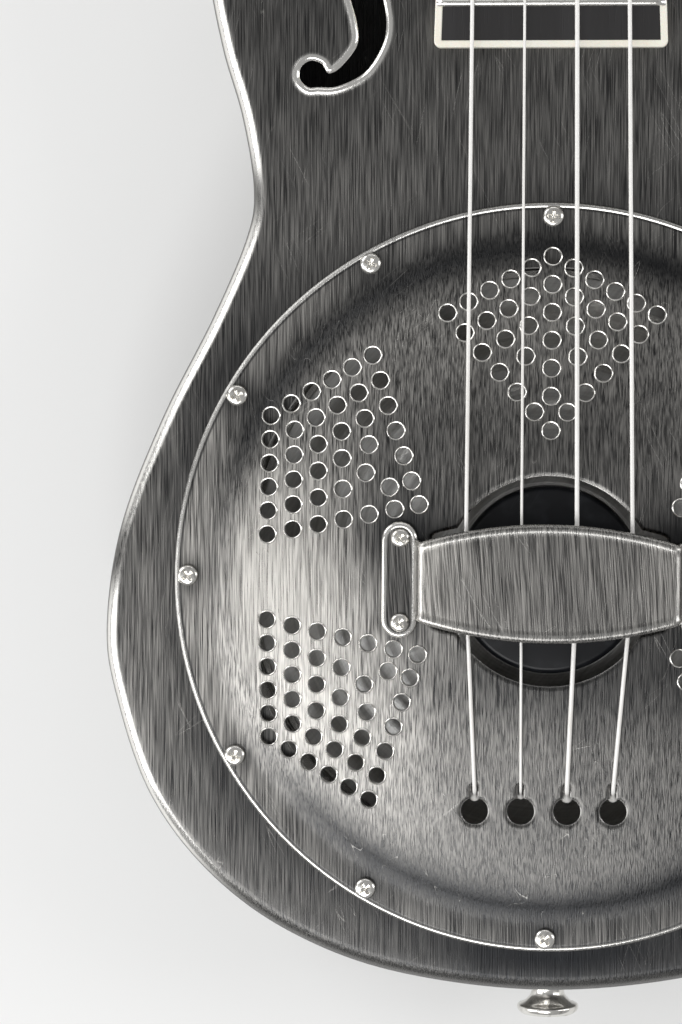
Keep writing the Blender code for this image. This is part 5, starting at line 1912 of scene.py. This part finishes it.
@dataclass(frozen=True)
class Headstock:
    """The headstock's place and shape."""

    tilt: float = 12.0
    length: float = 118.0
    half_width: float = 31.0
    thickness: float = 14.0
    post_x: float = 18.0
    post_y: tuple[float, float] = (34.0, 74.0)
    worm_drop: float = 18.0
    worm_back: float = 5.5

    def matrix(self, board: Board, face_z: float) -> Matrix:
        """From the headstock's own frame to the instrument's."""
        origin = (0, board.scale + board.nut_length + 0.6, face_z)
        return Matrix.Translation(origin) @ Matrix.Rotation(math.radians(-self.tilt), 4, "X")

    def posts(self) -> list[tuple[str, Side, Point2]]:
        """Each tuner's string, side and post centre."""
        low, high = self.post_y
        return [("g", Side.LEFT, (-self.post_x, low)), ("c", Side.LEFT, (-self.post_x, high)),
                ("e", Side.RIGHT, (self.post_x, high)), ("a", Side.RIGHT, (self.post_x, low))]

    def outline(self) -> list[Point2]:
        """The headstock seen from the front, anticlockwise.

        Returns:
            The loop.
        """
        half = [(19.0, -1.0), (20.5, 3.0), (27.0, 11.0), (self.half_width - 1, 20.0), (self.half_width, 32.0),
                (self.half_width - 2, 70.0), (self.half_width - 3, 96.0), (24.0, 106.0), (13.0, 110.0),
                (5.0, 114.0)]
        right = smooth_through(half, 8, closed=False)
        return [*right, (0.0, self.length), *((-x, y) for x, y in reversed(right))]


@dataclass
class Neck(Assembly):
    """The neck and headstock, the veneer on its face and the stick through the body."""

    board: Board = Board()
    head: Headstock = Headstock()
    shoulder_y: float = 190.5
    tail_y: float = -104.1
    depth: float = 18.0
    heel_drop: float = 28.0
    heel_length: float = 46.0
    swell_length: float = 18.0

    def build(self) -> None:
        """Builds the four pieces."""
        self.shaft()
        self.headstock()
        self.stick()

    def shaft(self) -> None:
        """The neck from heel to nut, round underneath and flat on top."""
        top = self.datum.face_z
        start = self.shoulder_y + 0.3
        end = self.board.scale + 4
        sketch = Sketch()
        loops = []
        for k in range(41):
            y = start + (end - start) * k / 40
            fall = max(1 - (y - start) / self.heel_length, 0.0)
            swell = max((y - (end - self.swell_length)) / self.swell_length, 0.0) ** 2
            depth = self.depth + self.heel_drop * fall ** 2 - (1 - swell) * (1 - fall)
            half = self.board.half_width(min(y, self.board.scale)) - 0.3 * (1 - swell)
            loop = [(half * math.cos(math.pi * i / 28), y, top - depth * math.sin(math.pi * i / 28) ** 0.8)
                    for i in range(29)]
            loops.append(sketch.add(loop))
        for first, second in zip(loops, loops[1:]):
            sketch.bridge(first, second)
        sketch.faces += [loops[0], loops[-1]]
        self.simple("neck_shaft", sketch, self.palette.neck, ["neck"], crease=50.0)

    def headstock(self) -> None:
        """The bored headstock and the dark veneer on its face."""
        place = self.head.matrix(self.board, self.datum.face_z)
        bores = [circle(4.4, 40, centre) for _, _, centre in self.head.posts()]
        block = Sketch()
        prism(block, self.head.outline(), bores, -self.head.thickness, -1.5, place)
        self.simple("head_block", block, self.palette.neck, [], edges=1.2)
        veneer = Sketch()
        prism(veneer, self.head.outline(), bores, -1.5, 0.0, place)
        self.simple("head_veneer", veneer, self.palette.veneer, [], edges=0.4)

    def stick(self) -> None:
        """The bar inside the body."""
        sketch = Sketch()
        back = self.tail_y + 2.2
        prism(sketch, [(-11, back), (11, back), (11, self.shoulder_y), (-11, self.shoulder_y)], [], 14.0, 34.0)
        self.simple("stick_bar", sketch, self.palette.stick, ["neck_stick"], edges=1.0)


@dataclass
class StringSet(Assembly):
    """The four strings, each knotted under the coverplate and wound on its post."""

    plate: Coverplate
    board: Board = Board()
    head: Headstock = Headstock()
    sides: int = 14

    names = ("g", "c", "e", "a")
    diameters = (1.0, 0.7, 1.15, 1.05)
    saddle_spread = 41.2
    nut_spread = 34.0
    notch_depth = 1.2
    play = 0.3
    post_waist = 2.6
    first_turn = 11.3

    def route(self, index: int) -> list[tuple[Vector, float]]:
        """The centre line from the knot to the last turn on the post.

        Args:
            index: the string's number from the left.

        Returns:
            The points, each with the string's width there as a multiple of its own diameter.
        """
        radius = self.diameters[index] / 2
        x = self.plate.keyholes_x[index]
        y = self.plate.slot_end - 0.7 - radius
        surface = self.plate.height(x, y)
        under = surface - self.plate.thickness
        saddle = Vector((string_places(self.saddle_spread)[index], 0.0,
                         Resonator.saddle_top - self.notch_depth + self.play + radius))
        nut_x = string_places(self.nut_spread)[index]
        nut_z = self.board.nut_top - self.notch_depth + self.play + radius
        nut_end = self.board.scale + 0.3 + self.board.nut_length
        route = [((x, y - 2.6, under - 4.6), 0.5), ((x, y - 2.5, under - 4.2), 2.2),
                 ((x, y - 2.3, under - 3.4), 2.7), ((x, y - 2.1, under - 2.6), 2.3),
                 ((x, y - 1.9, under - 2.0), 1.0), ((x, y - 1.1, under - 0.4), 1.0),
                 ((x, y - 0.3, surface + radius - 0.1), 1.0), ((x, y + 0.5, surface + radius + 0.4), 1.0)]
        route = [(Vector(p), width) for p, width in route]
        route += [(route[-1][0].lerp(saddle, k / 6), 1.0) for k in range(1, 6)]
        route.append((saddle, 1.0))
        nut = Vector((nut_x, self.board.scale + 0.3, nut_z))
        route += [(saddle.lerp(nut, k / 12), 1.0) for k in range(1, 12)]
        route += [(nut, 1.0), (Vector((nut_x, nut_end, nut_z)), 1.0)]
        matrix = self.head.matrix(self.board, self.datum.face_z)
        _, side, centre = self.head.posts()[index]
        start = (matrix.inverted() @ Vector((nut_x, nut_end, nut_z))).xy - Vector(centre)
        wrap = self.post_waist + self.play + radius
        first = math.degrees(math.atan2(start.y, start.x) - side.value * math.acos(wrap / start.length))
        for step in range(55):
            share = step / 24
            x, y = polar(wrap, first - side.value * 360 * share, centre)
            route.append((matrix @ Vector((x, y, self.first_turn - (2 * radius + 0.25) * share)), 1.0))
        return route

    def build(self) -> None:
        """Builds the strings."""
        for index, name in enumerate(self.names):
            sketch = Sketch()
            self.tube(sketch, self.route(index), self.diameters[index] / 2)
            self.simple(f"nylon_{name}", sketch, self.palette.nylon, [f"string_{name}"], crease=60.0)

    def tube(self, sketch: Sketch, route: list[tuple[Vector, float]], radius: float) -> None:
        """A round tube along a route, without twist.

        Args:
            sketch: the mesh under way.
            route: the centre line's points, each with a multiple of the radius.
            radius: the tube's own radius.
        """
        points = [p for p, _ in route]
        across = Vector((1, 0, 0))
        loops = []
        for i, (point, width) in enumerate(route):
            run = (points[min(i + 1, len(points) - 1)] - points[max(i - 1, 0)]).normalized()
            across = (across - run * across.dot(run)).normalized()
            up = run.cross(across)
            corners = circle(radius * width, self.sides)
            loops.append(sketch.add([point + across * a + up * b for a, b in corners]))
        for first, second in zip(loops, loops[1:]):
            sketch.bridge(first, second)
        sketch.faces += [loops[0], loops[-1]]


# ---------------------------------------------------------------------------------------------------
# Tuners and strap button


@dataclass
class Tuner(Assembly):
    """One open-geared tuner, drawn about its own post, +X towards its button.

    Attributes:
        name: the string it holds.
        side: the half of the headstock that it is on.
        centre: the post's place in the headstock's frame.
    """

    name: str
    side: Side
    centre: Point2
    board: Board = Board()
    head: Headstock = Headstock()
    teeth: int = 14
    pitch_radius: float = 3.5
    worm_radius: float = 2.0
    gear_width: float = 2.2

    def frame_of(self, back: float = 0.0, drop: float = 0.0) -> Matrix:
        """The tuner's own frame, moved from the post towards the nut and down from the headstock's face.

        Args:
            back: how far it is moved towards the nut, in millimetres.
            drop: how far it is moved down, in millimetres.

        Returns:
            The matrix from that frame to the instrument's.
        """
        place = self.head.matrix(self.board, self.datum.face_z)
        mirror = Matrix.Diagonal((self.side.value, 1, 1, 1))
        return place @ Matrix.Translation((self.centre[0], self.centre[1] - back, -drop)) @ mirror

    def build(self) -> None:
        """Builds the tuner on its three bodies."""
        post_body = f"tuner_{self.name}_post"
        button_body = f"tuner_{self.name}_button"
        post_frame = self.frame_of()
        worm_frame = self.frame_of(self.head.worm_back, self.head.worm_drop)
        across = worm_frame @ Matrix.Rotation(math.pi / 2, 4, "Y")
        self.post(post_frame, post_body)
        self.gear(post_frame, post_body)
        self.bushing(post_frame)
        self.worm(worm_frame, button_body)
        self.button(across, button_body)
        self.frame_plate(post_frame)

    def label(self, piece: str) -> str:
        """A piece's name on this tuner."""
        return f"{piece}_{self.name}"

    def post(self, place: Matrix, body: str) -> None:
        """The string post, waisted where the string winds and domed at its tip.

        Args:
            place: the tuner's frame.
            body: the body that it moves with.
        """
        drop = self.head.worm_drop
        half = self.gear_width / 2
        tip = [(3.0 - 0.9 * (1 - math.cos(math.radians(15 * k))), 15.1 + 0.9 * math.sin(math.radians(15 * k)))
               for k in range(7)]
        profile = [(0, -drop - half - 0.3), (1.4, -drop - half - 0.3), (1.5, -drop - half - 0.2),
                   (1.5, -drop + half + 0.3), (3.0, -drop + half + 0.3), (3.0, 6.5), (2.9, 6.8), (2.65, 7.3),
                   (2.6, 7.8), (2.6, 12.3), (2.7, 12.8), (3.0, 13.2), *tip, (0, 16.0)]
        sketch = Sketch()
        sketch.turned(profile, 40, place)
        self.simple(self.label("string_post"), sketch, self.palette.nickel, [f"tuner_{self.name}_post"], body)

    def gear(self, place: Matrix, body: str) -> None:
        """The brass gear on the post's lower end.

        Args:
            place: the tuner's frame.
            body: the body that it moves with.
        """
        tip = self.pitch_radius + 0.35
        root = self.pitch_radius - 0.65
        outline = []
        for tooth in range(self.teeth):
            middle = -90 + 360 * (tooth + 0.5) / self.teeth
            for radius, half in ((root, -0.34), (self.pitch_radius, -0.27), (tip - 0.06, -0.18), (tip, -0.1),
                                 (tip, 0.1), (tip - 0.06, 0.18), (self.pitch_radius, 0.27), (root, 0.34)):
                outline.append(polar(radius, middle + math.degrees(half / radius)))
        low = -self.head.worm_drop - self.gear_width / 2
        sketch = Sketch()
        prism(sketch, outline, [circle(1.55, 24)], low, low + self.gear_width, place)
        self.simple(self.label("post_gear"), sketch, self.palette.brass, [f"tuner_{self.name}_gear"], body,
                    edges=0.08)

    def bushing(self, place: Matrix) -> None:
        """The ring round the post at the headstock's face.

        Args:
            place: the tuner's frame.
        """
        profile = [(3.3, 1.5), (3.5, 1.7), (4.7, 1.7), (5.1, 1.5), (5.4, 1.1), (5.4, 0.05), (4.2, 0.05),
                   (4.2, -5.0), (3.3, -5.0)]
        sketch = Sketch()
        sketch.turned(profile, 48, place, ring=True)
        self.simple(self.label("post_bushing"), sketch, self.palette.nickel, [f"tuner_{self.name}_bushing"])

    def worm(self, place: Matrix, body: str) -> None:
        """The worm and its shaft along X.

        Args:
            place: the tuner's frame.
            body: the body that it moves with.
        """
        lead = 2 * math.pi * self.pitch_radius / self.teeth
        root = self.worm_radius - 0.65
        crest = self.worm_radius + 0.35
        sideways = place @ Matrix.Rotation(math.pi / 2, 4, "Y")
        sketch = Sketch()
        sketch.turned([(0, -7.7), (2.1, -7.7), (2.2, -7.6), (2.2, -6.9), (root, -6.9), (root, 6.9), (2.4, 6.9),
                       (2.4, 8.3), (1.7, 8.3), (1.7, 21.7), (0, 21.7)], 32, sideways)
        loops = []
        steps = 24
        for i in range(4 * steps + 1):
            turn = i / steps - 2
            fade = min(i / 10, (4 * steps - i) / 10, 1.0)
            high = root - 0.1 + (crest - root + 0.1) * fade
            section = ((-0.34, root - 0.1), (-0.16, high), (0.16, high), (0.34, root - 0.1))
            loops.append(sketch.add([place @ Vector((lead * turn + offset, *polar(radius, 360 * turn)))
                                     for offset, radius in section]))
        for first, second in zip(loops, loops[1:]):
            sketch.bridge(first, second)
        sketch.faces += [loops[0], loops[-1]]
        self.simple(self.label("worm_shaft"), sketch, self.palette.nickel, [f"tuner_{self.name}_worm"], body)

    def button(self, place: Matrix, body: str) -> None:
        """The pearly oval button with a metal collar.

        Args:
            place: the tuner's frame.
            body: the body that it moves with.
        """
        out = 16.0
        length = 12.4
        profile = smooth_through([(3.2, 0), (5.2, 1.4), (6.9, 4.6), (7.0, 7.4), (5.8, 10.2), (3.2, 11.9),
                                  (0.0, length)], 5, closed=False)
        profile = [(max(r, 0.0), h + out) for r, h in profile]
        button = Sketch()
        squeeze = place @ Matrix.Diagonal((0.62, 1, 1, 1))
        button.turned([(0, out), (3.0, out), *profile[:-1], (0, out + length)], 48, squeeze)
        self.simple(self.label("button_knob"), button, self.palette.pearl, [f"tuner_{self.name}_button"], body)
        collar = Sketch()
        collar.turned([(1.72, out - 1.4), (2.3, out - 1.4), (2.5, out - 1.1), (2.5, out), (1.72, out)], 32,
                      place, ring=True)
        self.simple(self.label("button_collar"), collar, self.palette.nickel, [], body)

    def frame_plate(self, place: Matrix) -> None:
        """The back plate with its lugs and its two screws.

        Args:
            place: the tuner's frame.
        """
        top = -self.head.thickness - 0.3
        outline = smooth_through([(-5, -14), (5, -14), (6.5, -12), (6.5, 10), (4.5, 13), (-4.5, 13), (-6.5, 10),
                                  (-6.5, -12)], 2, closed=True)
        sketch = Sketch()
        prism(sketch, outline, [circle(3.3, 40)], top - 1.0, top, place)
        back = self.head.worm_back
        foot = self.head.worm_drop
        for x in (-5.9, 5.9):
            lug = [(-2.7 - back, top - 0.5), (2.7 - back, top - 0.5)]
            lug += [(2.7 * math.cos(math.radians(a)) - back, -foot - 0.3 - 2.7 * math.sin(math.radians(a)))
                    for a in range(0, 181, 15)]
            upright = place @ Matrix(((0, 0, 1, 0), (1, 0, 0, 0), (0, 1, 0, 0), (0, 0, 0, 1)))
            bore = circle(1.6, 24, (-back, -foot))
            prism(sketch, anticlockwise(lug), [bore], x - 0.6, x + 0.6, upright)
        self.simple(self.label("tuner_frame"), sketch, self.palette.nickel, [f"tuner_{self.name}_plate"],
                    edges=0.15)
        heads = Sketch()
        for y in (-12.0, 11.0):
            spot = place @ Matrix.Translation((0, y, top - 1.0)) @ Matrix.Rotation(math.pi, 4, "X")
            heads.turned([(0, -0.4), (1.6, -0.4), (1.6, 0.2), (1.45, 0.6), (1.0, 0.9), (0, 1.0)], 24, spot)
        self.simple(self.label("tuner_screws"), heads, self.palette.nickel, [])


@dataclass
class StrapButton(Assembly):
    """The turned button on the tail and the screw through it."""

    tail_y: float = -104.1
    height: float = 24.0
    length: float = 11.5

    def build(self) -> None:
        """Builds the button and its screw."""
        place = Matrix.Translation((0, self.tail_y - 0.3, self.height)) @ Matrix.Rotation(math.pi / 2, 4, "X")
        waist = smooth_through([(6.5, 1.5), (5.2, 2.2), (4.3, 4.2), (4.4, 6.6), (6.0, 8.4), (7.8, 9.3),
                                (7.8, 10.6), (6.9, self.length)], 5, closed=False)
        button = Sketch()
        button.turned([(2.3, 0.0), (6.3, 0.0), (6.5, 0.2), *waist, (4.5, self.length), (4.4, self.length - 0.1),
                       (4.4, self.length - 2.2), (2.3, self.length - 2.2)], 64, place, ring=True)
        self.simple("tail_button", button, self.palette.nickel, ["strap_button"])
        seat = self.length - 1.9
        screw = Sketch()
        screw.turned([(0, -14.0), (1.8, -12.0), (1.8, seat), (4.0, seat), (4.0, seat + 0.9), (3.4, seat + 1.4),
                      (0, seat + 1.5)], 40, place)
        self.simple("tail_button_screw", screw, self.palette.nickel, ["strap_button_screw"], edges=0.15)


# ---------------------------------------------------------------------------------------------------
# Floor, lights and camera


@dataclass
class Studio:
    """A pale floor, soft lights and the camera.

    Attributes:
        datum: the instrument's place.
        aim: the point at the middle of the picture, in the instrument's frame.
        stand: the camera's own place, in the instrument's frame.
        lens: its focal length in millimetres.
    """

    datum: Datum
    aim: Point3 = (-51.98, 16.64, 60.0)
    stand: Point3 = (0.0, 81.6, 1060.0)
    lens: float = 141.2

    def build(self) -> None:
        """Sets up the whole studio."""
        self.floor()
        self.camera()
        self.world(0.36)
        self.softbox("tail_box", (-0.42, -1.0, 1.5), (-0.04, -0.22, 0.06), (1.1, 0.8), 14.0)
        self.softbox("upper_left_box", (-1.3, 0.75, 0.9), (-0.08, -0.1, 0.05), (0.95, 1.3), 9.5)
        self.softbox("lower_left_box", (-1.5, -0.6, 0.9), (-0.08, -0.15, 0.05), (0.95, 1.3), 10.5)
        self.softbox("right_box", (1.5, 0.0, 0.8), (0.0, -0.1, 0.05), (0.5, 1.4), 7.0)
        self.softbox("neck_box", (0.1, 1.5, 0.9), (0.0, -0.1, 0.05), (1.6, 0.35), 3.0)

    def floor(self) -> None:
        """The pale floor."""
        graph = Graph("studio_floor")
        cloud = graph.noise(graph.coords((3.0, 3.0, 3.0)), 2.0)
        colour = graph.mix(cloud, (0.78, 0.78, 0.775), (0.81, 0.81, 0.805))
        material = graph.surface(Base_Color=colour, Roughness=0.9)
        mesh = bpy.data.meshes.new("studio_floor")
        mesh.from_pydata([(-4, -4, 0), (4, -4, 0), (4, 4, 0), (-4, 4, 0)], [], [(0, 1, 2, 3)])
        mesh.materials.append(material)
        floor = bpy.data.objects.new("studio_floor", mesh)
        bpy.context.scene.collection.objects.link(floor)

    def camera(self) -> None:
        """A long lens above the instrument's waist, looking down at the coverplate's left half."""
        data = bpy.data.cameras.new("camera")
        data.lens = self.lens
        data.sensor_width = 36.0
        data.sensor_fit = "AUTO"
        data.clip_end = 20.0
        camera = bpy.data.objects.new("camera", data)
        place = self.datum.world(self.stand)
        back = (place - self.datum.world(self.aim)).normalized()
        right = Vector((0, 1, 0)).cross(back).normalized()
        up = back.cross(right)
        turn = Matrix((right, up, back)).transposed()
        camera.matrix_world = Matrix.Translation(place) @ turn.to_4x4()
        bpy.context.scene.collection.objects.link(camera)
        bpy.context.scene.camera = camera

    @staticmethod
    def world(strength: float) -> None:
        """A faint even fill from all round.

        Args:
            strength: the sky's strength.
        """
        world = bpy.data.worlds.new("studio")
        bpy.context.scene.world = world
        world.use_nodes = True
        background = world.node_tree.nodes["Background"]
        background.inputs["Color"].default_value = (1.0, 1.0, 1.0, 1.0)
        background.inputs["Strength"].default_value = strength
        bpy.context.scene.view_settings.view_transform = "Standard"

    @staticmethod
    def softbox(name: str, place: Point3, target: Point3, size: Point2, power: float) -> None:
        """A rectangular light that faces a point, its power in watts.

        Args:
            name: the light's name.
            place: where it stands, in metres.
            target: the point that it faces.
            size: its width and height in metres.
            power: watts.
        """
        data = bpy.data.lights.new(name, "AREA")
        data.shape = "RECTANGLE"
        data.size, data.size_y = size
        data.energy = power
        light = bpy.data.objects.new(name, data)
        light.location = place
        away = Vector(place) - Vector(target)
        light.rotation_euler = away.to_track_quat("Z", "Y").to_euler()
        bpy.context.scene.collection.objects.link(light)


# ---------------------------------------------------------------------------------------------------


def main() -> None:
    """Builds the studio and the instrument."""
    logging.basicConfig(level=logging.INFO, format="%(message)s")
    datum = Datum.from_frame()
    Studio(datum).build()
    common = (datum, Palette(), Repeater())
    coverplate = Coverplate(*common)
    head = Headstock()
    assemblies: list[Assembly] = [Body(*common), Resonator(*common), coverplate, HandRest(*common, coverplate),
                                  Fretboard(*common), Neck(*common), StringSet(*common, coverplate),
                                  StrapButton(*common)]
    assemblies += [Tuner(*common, name, side, centre) for name, side, centre in head.posts()]
    for assembly in assemblies:
        LOG.info("-- %s", type(assembly).__name__)
        assembly.build()


if __name__ == "__main__":
    main()
